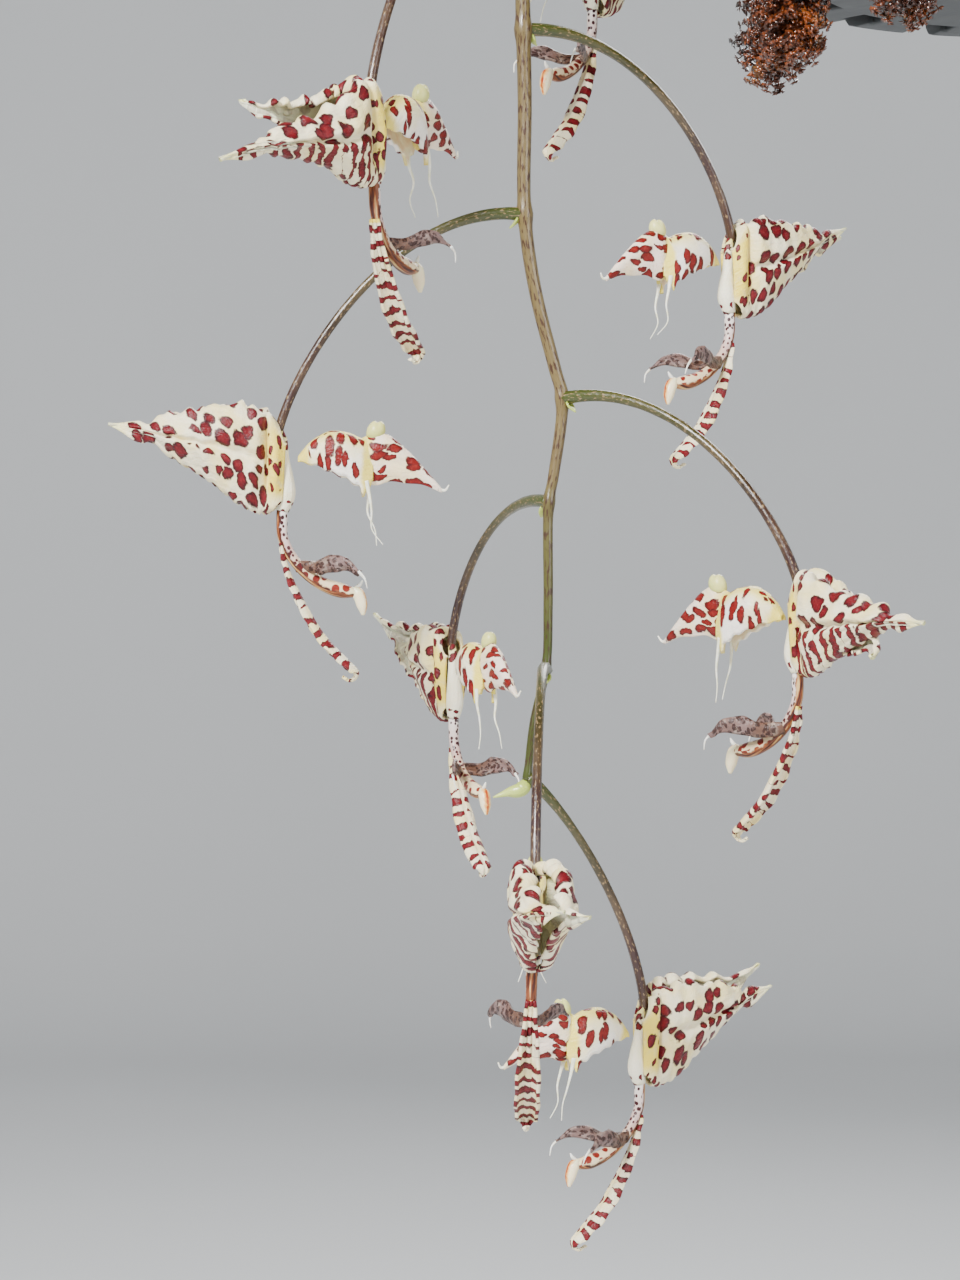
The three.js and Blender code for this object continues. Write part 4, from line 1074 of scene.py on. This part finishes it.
class ORCHID_OT_bulbs(bpy.types.Operator):
    """Add the ribbed pseudobulbs with their sheaths and roots"""

    bl_idname = "orchid.add_bulbs"
    bl_label = "Pseudobulbs"

    def execute(self, context):
        skin = bulb_skin(context.scene.orchid_plant.bulb)
        sheath = fibre_skin("dry_sheath", "#c9b48a", "#7b5c38", 0.8)
        root_skin = fibre_skin("velamen", "#cfcbb9", "#8f9a72", 0.7, spacing=(1.5, 0.8))
        for index, bulb in enumerate(BULBS):
            pieces = [build_bulb(bulb, skin)]
            pieces += [build_sheath(bulb, turn, height, sheath) for turn, height in ((40, 0.62), (215, 0.5))]
            if bulb[3]:
                pieces.append(build_root(bulb, root_skin))
            stand_for(joined(f"pseudobulb_{index + 1}_grown", pieces), f"pseudobulb_{index + 1}")
        return {"FINISHED"}


def bulb_foot(bulb):
    (x, y), _, _, _, _ = bulb
    return medium_height(x, y) - BULB["sunk"]


def build_bulb(bulb, skin):
    (x, y), radius, height, _, _ = bulb
    outline = course_of(BULB_OUTLINE)
    foot = bulb_foot(bulb)
    line = Course([(x, y, foot), (x, y, foot + height)], 40)

    def section(share, angle):
        groove = (0.5 - 0.5 * math.cos(BULB["ribs"] * angle)) ** 3
        wobble = 0.02 * noise.noise(Vector((math.cos(angle), math.sin(angle), 3 * share + x)))
        return 1.03 - 0.13 * groove * ease(0.0, 0.12, share) * (1 - ease(0.88, 1.0, share)) + wobble

    return lay_tube("bulb", line, lambda share: outline(share) * radius, 42, 72, skin, (1, 0, 0), section)


def build_sheath(bulb, turn, top, skin):
    """A dry sheath round half of the bulb's foot, frayed along its top."""
    (x, y), radius, height, _, _ = bulb
    outline = course_of(BULB_OUTLINE)
    foot = bulb_foot(bulb)
    draw = random.Random(turn + round(x))
    phase = draw.uniform(0, 6)

    def place(u, v):
        across = 2 * v - 1
        ragged = 0.05 * noise.noise(Vector((9 * v, phase, 0))) * 2
        share = 0.05 + (top + ragged - 0.05 - 0.34 * abs(across) ** 1.6) * u
        out = heading(turn + 100 * across)
        gap = 0.7 + 1.6 * u ** 4 * (0.5 + noise.noise(Vector((3 * v, 3 * u, phase))))
        return Vector((x, y, foot + height * share)) + out * (outline(share) * radius * 1.03 + gap)

    return thicken(turn_over(lay_sheet("sheath", 22, 40, place)), 0.00025, skin, skin)


def build_root(bulb, skin):
    """A root that leaves the bulb's foot and lies half sunk in the medium."""
    (x, y), radius, _, (turn, sway), _ = bulb
    out, side = heading(turn), heading(turn + 90)
    lie = []
    for i, reach in enumerate((0.3, 1, 1.35, 1.7, 2.05)):
        spot = Vector((x, y, 0)) + out * (reach * radius) + side * (sway * math.sin(1.7 * i))
        spot.z = medium_height(spot.x, spot.y) + (-2 if i == 0 else 0.4)
        lie.append(spot)
    return lay_tube("root", Course(lie), lambda share: 1.25 * (1 - 0.35 * share ** 4), 40, 12, skin, side)


class ORCHID_OT_leaves(bpy.types.Operator):
    """Add the pleated leaves"""

    bl_idname = "orchid.add_leaves"
    bl_label = "Leaves"

    def execute(self, context):
        settings = context.scene.orchid_plant
        upper = leaf_skin("leaf_upper_face", settings.leaf, linear("#8cab52"), 0.34)
        under = leaf_skin("leaf_under_face", settings.leaf_under, linear("#a9bd72"), 0.5)
        count = 0
        for bulb in BULBS:
            for leaf in bulb[4]:
                count += 1
                piece = thicken(build_leaf(bulb, leaf, count), settings.leaf_thickness, upper, under)
                stand_for(named(piece, f"leaf_{count}_pleated"), f"leaf_{count}")
        return {"FINISHED"}


def build_leaf(bulb, leaf, seed):
    """A leaf: its stalk, then a blade pleated lengthwise on an arching midline, with waved edges."""
    (x, y), _, height, _, _ = bulb
    turn, length, wide, rise = leaf
    out, side = heading(turn), heading(turn + 90)
    foot = Vector((x, y, bulb_foot(bulb) + height + CLEARANCE + 0.3)) + out * 4

    def reach(across, up):
        return foot + out * (across * length) + UP * (up * length)

    midline = bezier(foot, reach(0.12, 0.33), reach(0.5, rise + 0.1), reach(0.88, rise - 0.35))

    def place(u, v):
        across = 2 * v - 1
        bell = u ** 1.6 * (1 - u) ** 0.8 / LEAF["bell_peak"]
        half = 0.5 * (LEAF["stalk_width"] * (1 - 0.75 * u) + wide * bell)
        forward = midline.direction(u)
        lift = side.cross(forward) * -1
        depth = min(1.0, half / 12)
        fold = LEAF["pleat"] * math.cos(LEAF["pleats"] * math.pi * across) * depth
        ribs = 0.22 * math.cos(6 * LEAF["pleats"] * math.pi * across) * depth
        cup = LEAF["cup"] * half * across * across * (1 + 2.2 * (1 - ease(0.0, 0.16, u)))
        wave = 1.7 * across ** 2 * depth * math.sin(u * 15 + seed + 1.2 * across)
        sink = out * -1.5 * (1 - ease(0.0, 0.05, u)) - UP * 3.2 * (1 - ease(0.0, 0.05, u))
        return midline.at(u) + sink + side * (across * half) + lift * (wave - fold - ribs - cup)

    return lay_sheet("leaf", 96, 48, place)


class ORCHID_OT_stem(bpy.types.Operator):
    """Add the hanging flower stem with its stalks and bracts"""

    bl_idname = "orchid.add_stem"
    bl_label = "Flower stem"

    def execute(self, context):
        settings = context.scene.orchid_blooms
        green, red, tan = settings.stalk_green, settings.stalk_red, settings.stem
        shades = [(0, green), (0.2, blend_colour(tan, green, 0.4)), (0.4, tan), (0.72, tan)]
        shades += [(0.86, green), (1, green)]
        stem = stem_skin("rachis_cuticle", shades, linear("#34150f"), 0.54)
        shades = [(0, green), (0.3, blend_colour(green, red, 0.35)), (0.75, red)]
        # The stalks' pale tan flecks are painted glints of highlight.
        stalk = stem_skin("stalk_cuticle", shades, linear("#8c7350"), 0.6, spacing=(0.8, 0.3))
        shades = shades_of((0, "#9fb04a"), (1, "#c3cf6b"))
        bract = stem_skin("bract_cuticle", shades, linear("#8a7a3a"), 0.68)
        pieces = [build_rachis(stem)]
        for name in BLOOMS:
            pieces += [build_stalk(name, stalk), build_bract(name, bract)]
        tip = Course([beside(place) for place in (STEM_COURSE[-1], (0.2, 117.8), (-1.8, 118.3), STEM_TIP)])
        pieces.append(lay_tube("end_bract", tip, course_of([0.6, 1.15, 1, 0.5, 0.12]), 24, 14, bract))
        stand_for(joined("flower_stem_grown", pieces), "flower_stem")
        return {"FINISHED"}


def beside(place):
    across, down = place
    return Vector((STEM["x"] + across, 0, STEM["top"] - down))


def on_stem(down):
    """The middle of the stem at a distance below its top. Above it the stem hangs straight."""
    following = max(1, next(i for i, place in enumerate(STEM_COURSE) if place[1] >= down))
    above, below = STEM_COURSE[following - 1], STEM_COURSE[following]
    share = clamp((down - above[1]) / (below[1] - above[1]))
    return beside((blend(above[0], below[0], share), down))


def bloom_place(name):
    across, back, down = BLOOMS[name][1]
    return Vector((STEM["x"] + across, back, STEM["top"] - down))


def bloom_matrix(name):
    """Where the bloom's own frame stands, in metres, for a mesh that is already in metres."""
    _, _, facing, pitch, roll, size, _, _ = BLOOMS[name]
    turn = Euler((math.radians(roll), math.radians(-pitch), math.radians(facing + 180))).to_matrix().to_4x4()
    return Matrix.Translation(bloom_place(name) * MM) @ turn @ Matrix.Scale(size, 4)


def build_rachis(skin):
    """The stem, a little swollen at each node."""
    arch = [Vector((x, y, POT["rim_z"] + z)) for x, y, z in STEM_ARCH]
    course = Course(arch + [beside(place) for place in STEM_COURSE], 16)
    nodes = [on_stem(bloom[0]).z for bloom in BLOOMS.values()]

    def section(share, angle):
        z = course.at(share).z
        swelling = max(hump(z, node, 1.3) for node in nodes) if z < STEM["top"] + 40 else 0
        return 1 + 0.28 * swelling + 0.03 * math.cos(5 * angle)

    return lay_tube("rachis", course, course_of(STEM_RADII), 300, 14, skin, section=section)


def build_stalk(name, skin):
    """The arched stalk of one bloom: it leaves the stem sideways and ends above the bloom's foot."""
    node, _, _, _, _, size, (reach, lift, drop), _ = BLOOMS[name]
    start = on_stem(node)
    turn = bloom_matrix(name).to_3x3().normalized()
    end = bloom_place(name) + turn @ Vector((0.3, 0, STALK["above_bloom"] * size - 1.4))
    out = Vector((end.x - start.x, end.y - start.y, 0))
    course = bezier(start, start + out * reach + UP * lift, end - out * 0.08 + UP * drop, end)
    rough = random.Random(node).uniform(0, 9)

    def section(share, angle):
        return 1 + 0.05 * math.cos(6 * angle) + 0.04 * noise.noise(Vector((share * 22, rough, 0)))

    return lay_tube("stalk", course, course_of(STALK["radii"]), 72, 12, skin, section=section)


def build_bract(name, skin):
    """The small boat-shaped bract under a stalk."""
    place = on_stem(BLOOMS[name][0])
    out = bloom_place(name) - place
    out = Vector((out.x, out.y, 0)).normalized()
    side = UP.cross(out)
    root = place + out * 0.7 - UP * 0.9

    def lay(u, v):
        across = 2 * v - 1
        half = 0.85 * math.sin(math.pi * min(1.0, 0.28 + 0.72 * u)) ** 0.8 * (1 - u ** 3)
        spine = root + out * (0.4 + 1.2 * u) - UP * (1.5 * u - 0.5 * u * u)
        return spine + side * (half * across) + (UP + out * 0.4) * (0.4 * across * across * (1 - u))

    return thicken(lay_sheet("bract", 14, 8, lay), 0.0003, skin, skin)


class ORCHID_OT_sepals(bpy.types.Operator):
    """Add the lateral sepals and the foot of every bloom"""

    bl_idname = "orchid.add_sepals"
    bl_label = "Lateral sepals"

    def execute(self, context):
        settings = context.scene.orchid_blooms
        reverse = settings.reverse
        blobs = ((2.9, 3.1), 0.4, 0.75, (0.18, 0.95), (0.4, 2))
        bars = ((1.75, None), 0.46, 0.45, (0.15, 0.95), (-1, 0.45))
        spotted = ((2.4, 3.3), 0.41, 0.75, (0.15, 0.95), (-1, 0.45))
        few = ((2.1, 2.6), 0.33, 0.9, (0.02, 0.2), ALL)
        patterns = {
            kind: petal_skin(
                f"sepal_outer_face_{kind}", settings.ground, settings.base, 0.27, (blobs, lower, few),
                settings.spots(), tip=linear("#e6e3a6"), belly=(0.2, 0.78),
            )
            for kind, lower in (("barred", bars), ("spotted", spotted))
        }
        inner = petal_skin(
            "sepal_inner_face", reverse, linear("#d9d49a"), 0.3, (blobs, bars),
            (linear("#7d6763"), linear("#8a736c"), reverse), strength=0.45,
        )
        foot = petal_skin(
            "foot_tissue", linear("#efe8cf"), linear("#eedf86"), 0.3,
            (((1.5, 1.6), 0.4, 0.8, (-1, 0.4), ALL), ((1.6, 1.7), 0.34, 0.8, (0.82, 2), ALL)),
            settings.spots(), dusk=0.1,
        )
        for number, name in enumerate(BLOOMS):
            pieces = [lay_tube("foot", upright(FOOT), course_of(FOOT_RADII), 26, 20, foot)]
            outer = patterns["spotted" if name in "cdh" else "barred"]
            for side, habit in zip((1, -1), BLOOMS[name][7]):
                sheet = build_sepal(side, habit, number)
                shift_pattern(sheet, 31.7 * number + 9.3 * side)
                pieces.append(thicken(sheet, settings.petal_thickness, outer, inner))
            piece = joined(f"bloom_{name}_lateral_sepals", pieces)
            settle(piece, bloom_matrix(name))
            stand_for(piece, f"bloom_{name}_sepals")
        return {"FINISHED"}


def build_sepal(side, habit, number):
    """One lateral sepal: a pouch at its base, two lobes either side of its midvein and a pinched point."""
    turn, droop, span, curl, twist, slim = habit
    top_edge, bottom_edge = upright(SEPAL_TOP), upright(SEPAL_BOTTOM)
    spread = course_of(SEPAL_SPREAD)
    pivot = Vector(SEPAL["pivot"])
    inwards = Vector((0, -side, 0))
    low, high = SEPAL["low"], SEPAL["high"]
    phase = number * 1.9 + side

    def rolled(place, up, roll, bend):
        """Moves a point from the flat edge round its roll."""
        return place + inwards * (roll * (1 - math.cos(bend))) + up * (roll * math.sin(bend))

    def place(u, v):
        top, bottom = top_edge.at(u), bottom_edge.at(u)
        tall = (top - bottom).length
        up = (top - bottom) / tall
        opening = ease(0.0, 0.24, u)
        top_roll = min(SEPAL["top_roll"], 0.3 * tall)
        bottom_roll = min(SEPAL["bottom_roll"], 0.25 * tall)
        # The edges wave and are scalloped, but for the sepal's two ends.
        stray = noise.noise(Vector((u * 11, phase, 2)))
        way = FULL_TURN * SEPAL["length"] * u
        wave = math.sin(way / SEPAL["wave_length"] + phase + 3 * stray) + 1.4 * stray
        scallop = math.sin(way / SEPAL["scallop_length"] + phase + 2 * stray)
        calm = ease(0.05, 0.2, u) * (1 - ease(0.8, 1.0, u))
        low_point = bottom + up * (bottom_roll - SEPAL["scallop"] * scallop * calm)
        top = bottom + up * (tall * (1 - slim * ease(0.1, 0.6, u)))
        high_point = top - up * (top_roll - SEPAL["wave"] * wave * calm)
        w = clamp((v - low) / (high - low))
        spot = low_point.lerp(high_point, w)
        if v < low:
            bend = math.radians(SEPAL["bottom_bend"]) * opening * (1 - 0.4 * u) * (1 - v / low)
            spot = rolled(spot, -up, bottom_roll * (1 + 0.1 * scallop * calm), bend)
        elif v > high:
            bend = math.radians(SEPAL["top_bend"]) * opening * (1 - 0.45 * u) * ((v - high) / (1 - high))
            spot = rolled(spot, up, top_roll * (1 + 0.12 * wave * calm), bend)
        bulge = math.sin(math.pi * w) if 0 < w < 1 else 0.0
        lobe = SEPAL["lobe"] * bulge ** 0.8 - SEPAL["groove"] * hump(w, 0.52, 0.07)
        body = ease(SEPAL["crease"], SEPAL["crease"] + 0.1, u) * (1 - ease(0.72, 1.0, u))
        pouch = SEPAL["pouch"] * hump(u, 0.1, 0.07) * bulge
        crease = 0.85 * hump(u, SEPAL["crease"] + 0.03 * (w - 0.5), 0.017) * ease(0.06, 0.35, w)
        ripple = 0.4 * noise.noise(Vector((u * 9, w * 3, phase)))
        ripple += 0.16 * noise.noise(Vector((u * 24, w * 8, phase)))
        keel = blend(blend(0.95, SEPAL["keel"], ease(0.0, 0.25, u)), 1, v)
        spot.y += side * (spread(u) * keel + lobe * body + pouch - crease + ripple * body)
        pinch = 1 - 0.42 * hump(u, 0.85, 0.035) - 0.6 * ease(0.9, 1.0, u)
        centre = (top + bottom) / 2
        centre.y = side * spread(u) * 0.7
        swirl = Matrix.Rotation(math.radians(twist * side) * ease(0.78, 1.0, u), 3, "X")
        spot = centre + swirl @ ((spot - centre) * pinch)
        spot.x = (spot.x - 0.9 * ease(0.85, 1.0, u)) * blend(1, span, u)
        spot = curled(spot, side, curl)
        spot = Matrix.Rotation(math.radians(-droop) * u, 3, "Y") @ (spot - pivot) + pivot
        return Matrix.Rotation(math.radians(turn) * min(1.0, u / 0.3), 3, "Z") @ spot

    sheet = lay_sheet("sepal", 84, 52, place)
    return turn_over(sheet) if side < 0 else sheet


def curled(spot, side, curl):
    """Rolls a sepal's point round an upright axis, inwards for a positive curl."""
    start = SEPAL["curl_start"]
    past = start - spot.x
    if past <= 0 or not curl:
        return spot
    rate = math.radians(curl) / SEPAL["curl_reach"]
    angle = rate * past
    across = spot.y
    return Vector((
        start - math.sin(angle) / rate - across * side * math.sin(angle) * 0.3,
        across - side * (1 - math.cos(angle)) / rate,
        spot.z,
    ))


class ORCHID_OT_columns(bpy.types.Operator):
    """Add the column, anther cap, petals and dorsal sepal of every bloom"""

    bl_idname = "orchid.add_columns"
    bl_label = "Columns"

    def execute(self, context):
        settings = context.scene.orchid_blooms
        model = build_column(settings)
        for number, name in enumerate(BLOOMS):
            piece = copied(model, f"bloom_{name}_column_and_petals")
            shift_pattern(piece, 17.3 * number)
            settle(piece, bloom_matrix(name))
            stand_for(piece, f"bloom_{name}_column")
        bpy.data.objects.remove(model)
        return {"FINISHED"}


def build_column(settings):
    """The column with its cap, the bead under it, the dorsal sepal, and a petal and its hair either side."""
    spots, ground, base = settings.spots(), settings.ground, settings.base
    column = lay_tube("column", upright(COLUMN), course_of(COLUMN_RADII), 56, 20, column_skin())
    cap = lay_tube("cap", upright(ANTHER_CAP), course_of(ANTHER_CAP_RADII), 24, 18, cap_skin())
    bead = plain_petal("rostellum", "#f6f3ea", "#e9e2cf")
    tooth = upright([(11.8, -23.6), (12.6, -22.9), (13, -22.3)])
    point = lay_tube("rostellum", tooth, course_of([0.35, 0.28, 0.1]), 10, 8, bead)
    left = ((2.1, None), 0.35, 0.3, (-1, 0.9), (-1, 0.46))
    right = ((2.1, None), 0.35, 0.3, (-1, 0.9), (0.54, 2))
    barred = petal_skin("dorsal_sepal_front", ground, base, 0.02, (left, right), spots)
    whole = ((2.1, None), 0.33, 0.3, (-1, 0.9), ALL)
    back = petal_skin("dorsal_sepal_back", ground, base, 0.02, (whole,), spots, dusk=0.5)
    freckles = ((0.9, 0.8), 0.42, 0.9, ALL, ALL)
    mottled = petal_skin(
        "petal_tissue", linear("#77605c"), linear("#5e4234"), 0.5, (freckles,),
        (linear("#190808"), linear("#260e0b"), linear("#8d6f68")), strength=0.85, hollow=0.0,
    )
    pieces = [column, cap, point, thicken(build_dorsal_sepal(), settings.petal_thickness, barred, back)]
    for side in (1, -1):
        pieces.append(thicken(build_petal(side), settings.petal_thickness, mottled, mottled))
        hair = Course([(x, side * y, z) for x, y, z in PETAL_HAIR])
        pieces.append(lay_tube("hair", hair, course_of([0.22, 0.14, 0.08]), 10, 6, bead))
    return joined("column_model", pieces)


def build_dorsal_sepal():
    """A narrow tongue whose edges are rolled to the back, with a thin hooked point."""
    course = upright(DORSAL_SEPAL)
    width = course_of(DORSAL_SEPAL_WIDTHS)

    def place(u, v):
        front = course.direction(u).cross(Vector((0, 1, 0)))
        angle = (2 * v - 1) * math.radians(84)
        radius = 0.5 * width(u)
        depth = 0.85 * radius * (1 - math.cos(angle))
        keel = 0.25 * hump(v, 0.5, 0.05) * (1 - ease(0.7, 0.9, u))
        wave = 0.14 * math.sin(u * 62 + 3 * v) * (2 * v - 1) ** 2
        reach = Vector((0, radius * math.sin(angle) * (1 + 0.05 * math.sin(u * 47)), 0))
        return course.at(u) + reach - front * (depth + keel - wave)

    return lay_sheet("dorsal", 76, 20, place)


def build_petal(side):
    """A narrow strip on edge, widest past its middle and cupped inwards."""
    course = Course([(x, side * y, z) for x, y, z in PETAL])
    width = course_of(PETAL_WIDTHS)

    def place(u, v):
        across = 2 * v - 1
        out = UP.cross(course.direction(u)).normalized() * side
        frill = 0.18 * math.sin(u * 21 + side) * across
        cup = 0.5 * across * across * width(u) * 0.35
        return course.at(u) + UP * (0.5 * width(u) * across) + out * (frill - cup)

    return lay_sheet("petal", 34, 8, place)


class ORCHID_OT_lips(bpy.types.Operator):
    """Add the lip of every bloom, with its knob, blade and bristles"""

    bl_idname = "orchid.add_lips"
    bl_label = "Lips"

    def execute(self, context):
        settings = context.scene.orchid_blooms
        model = build_lip(settings)
        white = plain_petal("bristle_tissue", "#f4f1e2", "#dcd9b4")
        for number, name in enumerate(BLOOMS):
            draw = random.Random(number + 3)
            bristles = [build_bristle(side, draw, white) for side in (1, -1)]
            body = copied(model, "lip_body")
            shift_pattern(body, 23.1 * number)
            piece = joined(f"bloom_{name}_lip_and_bristles", [body, *bristles])
            settle(piece, bloom_matrix(name))
            stand_for(piece, f"bloom_{name}_lip")
        bpy.data.objects.remove(model)
        return {"FINISHED"}


def build_lip(settings):
    """The lip without its bristles."""
    spots = (linear("#430708"), linear("#6d0d0c"), linear("#983022"))
    bands = ((1.9, 4.2), 0.4, 0.85, (0.14, 0.86), (-1, 0.42))
    other = ((1.9, 4.2), 0.4, 0.85, (0.14, 0.86), (0.58, 2))
    ridge = ((2.6, 1.8), 0.34, 0.8, (0.1, 0.8), (0.38, 0.62))
    wing = petal_skin(
        "lip_wing_tissue", linear("#f4ece0"), linear("#e8d24a"), 0.2, (bands, other, ridge), spots,
        hollow=0.12, crest=0.24, waist=0.82,
    )
    inside = plain_petal("lip_inner_face", "#efe3c0", "#e3c9a0")
    blotches = ((2.9, 1.6), 0.43, 0.9, (0.08, 0.97), ALL)
    front = petal_skin(
        "lip_blade_tissue", linear("#f2decb"), linear("#ead563"), 0.2, (blotches,), spots, hollow=0.2,
    )
    green = plain_petal("lip_knob_tissue", "#dcd88c", "#bcc06a")
    white = plain_petal("lip_hook_tissue", "#f6f1e0", "#e6dfbc")
    body = thicken(build_lip_body(), settings.petal_thickness * 1.3, wing, inside)
    blade = coated(build_lip_blade(), front)
    hook = lay_tube("hook", Course(LIP_HOOK), course_of([0.28, 0.2, 0.1]), 12, 8, white)
    return joined("lip_model", [body, blade, build_knob(green), hook])


def build_lip_body():
    """The folded rear half: a rounded ridge and two hanging wings that end in sharp teeth."""
    ridge, wing = upright(LIP_RIDGE), upright(LIP_WING)
    spread = course_of(LIP_SPREAD)

    def place(u, v):
        across = 2 * v - 1
        turn = across * math.pi / 2
        spot = ridge.at(u).lerp(wing.at(u), 1 - math.cos(turn))
        bulge = 0.75 * math.sin(math.pi * abs(across)) * math.sin(math.pi * clamp(u * 1.05))
        spot.y = spread(u) * math.sin(turn) + math.copysign(bulge, across)
        for middle, drop, width in LIP_TEETH:
            spot.z -= drop * hump(u, middle, width) * abs(across) ** 7
        spot.z += 0.16 * math.sin(u * 34) * abs(across) ** 6
        return spot

    return lay_sheet("lip_body", 48, 36, place)


def build_lip_blade():
    """The front half: a closed, flattened form with a rounded back that narrows to its point."""
    top, bottom = upright(LIP_BLADE_TOP), upright(LIP_BLADE_BOTTOM)
    half_width = course_of(LIP_BLADE_HALF_WIDTHS)
    rows = 44

    def place(u, v):
        share = clamp((round(u * rows) - 1) / (rows - 2))
        if round(u * rows) in (0, rows):
            return (top.at(share) + bottom.at(share)) / 2
        angle = FULL_TURN * v
        level = 0.5 - 0.5 * math.cos(angle)
        spot = top.at(share).lerp(bottom.at(share), level)
        fullness = math.sin(math.pi * level ** 0.75) ** 0.8 if 0 < level < 1 else 0.0
        groove = 0.35 * hump(level, 0.55, 0.12) * ease(0.1, 0.4, share) * (1 - ease(0.5, 0.8, share))
        spot.y = math.copysign(half_width(share) * max(fullness - groove, 0.0), math.sin(angle))
        return spot

    return close_up(lay_sheet("lip_blade", rows, 28, place))


def build_knob(skin):
    """The knob on the ridge: two rounded lobes with a cleft between them."""
    bpy.ops.mesh.primitive_uv_sphere_add(segments=28, ring_count=16, radius=1)
    knob = bpy.context.object
    knob.data.uv_layers[0].name = "Share"
    knob.data.uv_layers.new(name="Millimetres")
    for vertex in knob.data.vertices:
        x, y, z = vertex.co
        cleft = 0.28 * hump(x, 0.2, 0.22) * clamp(z + 0.3)
        neck = 1 - 0.3 * ease(0.2, 1.0, -z)
        vertex.co = Vector((1.45 * x * neck, 1.2 * y * neck, 1.7 * z - 1.3 * cleft + 0.3 * x)) * MM
        vertex.co += Vector(LIP_KNOB) * MM
    bpy.ops.object.shade_smooth()
    return coated(knob, skin)


def build_bristle(side, draw, skin):
    """One hanging bristle: broad where it leaves the lip, then a wavering hair."""
    points = []
    for i, (x, y, z) in enumerate(BRISTLE):
        sway = 0.28 * i
        points.append((x + draw.uniform(-sway, sway), side * (y + draw.uniform(-0.5, 0.5) * sway), z))
    return lay_tube("bristle", Course(points), course_of(BRISTLE_RADII), 34, 8, skin)


class ORCHID_OT_stage(bpy.types.Operator):
    """Add the floor, the lights and the camera"""

    bl_idname = "orchid.add_stage"
    bl_label = "Stage"

    def execute(self, context):
        build_cove()
        for light in LIGHTS:
            add_light(*light)
        world = bpy.data.worlds.new("studio")
        world.use_nodes = True
        sky = world.node_tree.nodes["Background"].inputs
        sky["Color"].default_value = linear("#f2f4f7")
        sky["Strength"].default_value = 0.4
        context.scene.world = world
        camera = in_scene("camera", bpy.data.cameras.new("camera"))
        camera.location = (CAMERA["x"] * MM, -CAMERA["distance"] * MM, CAMERA["z"] * MM)
        camera.rotation_euler = (math.radians(90), 0, 0)
        camera.data.sensor_fit = "VERTICAL"
        camera.data.sensor_height = CAMERA["sensor"]
        camera.data.lens = CAMERA["distance"] * CAMERA["sensor"] * PIXELS_PER_MM / IMAGE_HEIGHT
        camera.data.clip_start = 0.01
        context.scene.camera = camera
        return {"FINISHED"}


def build_cove():
    """A pale round floor that sweeps up into a wall all round."""
    cove, radius = FLOOR["cove"], FLOOR["radius"]
    outline = [(1, 0), (0.5 * radius, 0), (radius - cove, 0)]
    outline += [
        (radius - cove + cove * math.sin(math.radians(t)), cove - cove * math.cos(math.radians(t)))
        for t in range(10, 91, 10)
    ]
    outline.append((radius, FLOOR["height"]))
    rows = len(outline) - 1

    def place(u, v):
        reach, up = outline[round(u * rows)]
        return heading(360 * v) * reach + UP * (FLOOR["z"] + up)

    floor = turn_over(lay_sheet("floor", rows, 96, place))
    coated(floor, cove_paint())


def cove_paint():
    """Matt wall paint, rolled on: an even pale grey with faint clouds."""
    material, add = new_material("painted_cove", Roughness=0.85, Specular_IOR_Level=0.2)
    cloud = add("TexNoise", add("TexCoord").outputs["Object"], Scale=1.5, Detail=3)
    return finished(material, add("ValToRGB", cloud, stops=shades_of((0.2, "#cfd1d2"), (0.8, "#d9dadb"))))


def add_light(name, place, target, size, power):
    light = in_scene(name, bpy.data.lights.new(name, "AREA"))
    light.data.size = size
    light.data.energy = power
    light.location = place
    light.rotation_euler = (Vector(target) - Vector(place)).to_track_quat("-Z", "Y").to_euler()


class ORCHID_PT_panel(bpy.types.Panel):
    """The orchid's pieces and settings"""

    bl_label = "Potted hanging orchid"
    bl_idname = "ORCHID_PT_panel"
    bl_space_type = "VIEW_3D"
    bl_region_type = "UI"
    bl_category = "Orchid"

    def draw(self, context):
        for group in (context.scene.orchid_blooms, context.scene.orchid_plant, context.scene.orchid_pot):
            box = self.layout.box()
            for name in group.__annotations__:
                box.prop(group, name)
        for step in STEPS:
            self.layout.operator(step.bl_idname)


SETTINGS = {
    "orchid_blooms": OrchidBloomSettings,
    "orchid_plant": OrchidPlantSettings,
    "orchid_pot": OrchidPotSettings,
}
STEPS = (
    ORCHID_OT_stage, ORCHID_OT_pot, ORCHID_OT_hanger, ORCHID_OT_medium, ORCHID_OT_bulbs, ORCHID_OT_leaves,
    ORCHID_OT_stem, ORCHID_OT_sepals, ORCHID_OT_columns, ORCHID_OT_lips,
)


def register():
    for kind in (*SETTINGS.values(), *STEPS, ORCHID_PT_panel):
        bpy.utils.register_class(kind)
    for name, kind in SETTINGS.items():
        setattr(bpy.types.Scene, name, bpy.props.PointerProperty(type=kind))


def unregister():
    for name in SETTINGS:
        delattr(bpy.types.Scene, name)
    for kind in reversed((*SETTINGS.values(), *STEPS, ORCHID_PT_panel)):
        bpy.utils.unregister_class(kind)


def main():
    """Builds every piece and the stage."""
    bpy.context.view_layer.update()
    register()
    for step in STEPS:
        group, name = step.bl_idname.split(".")
        getattr(getattr(bpy.ops, group), name)()


if __name__ == "__main__":
    main()
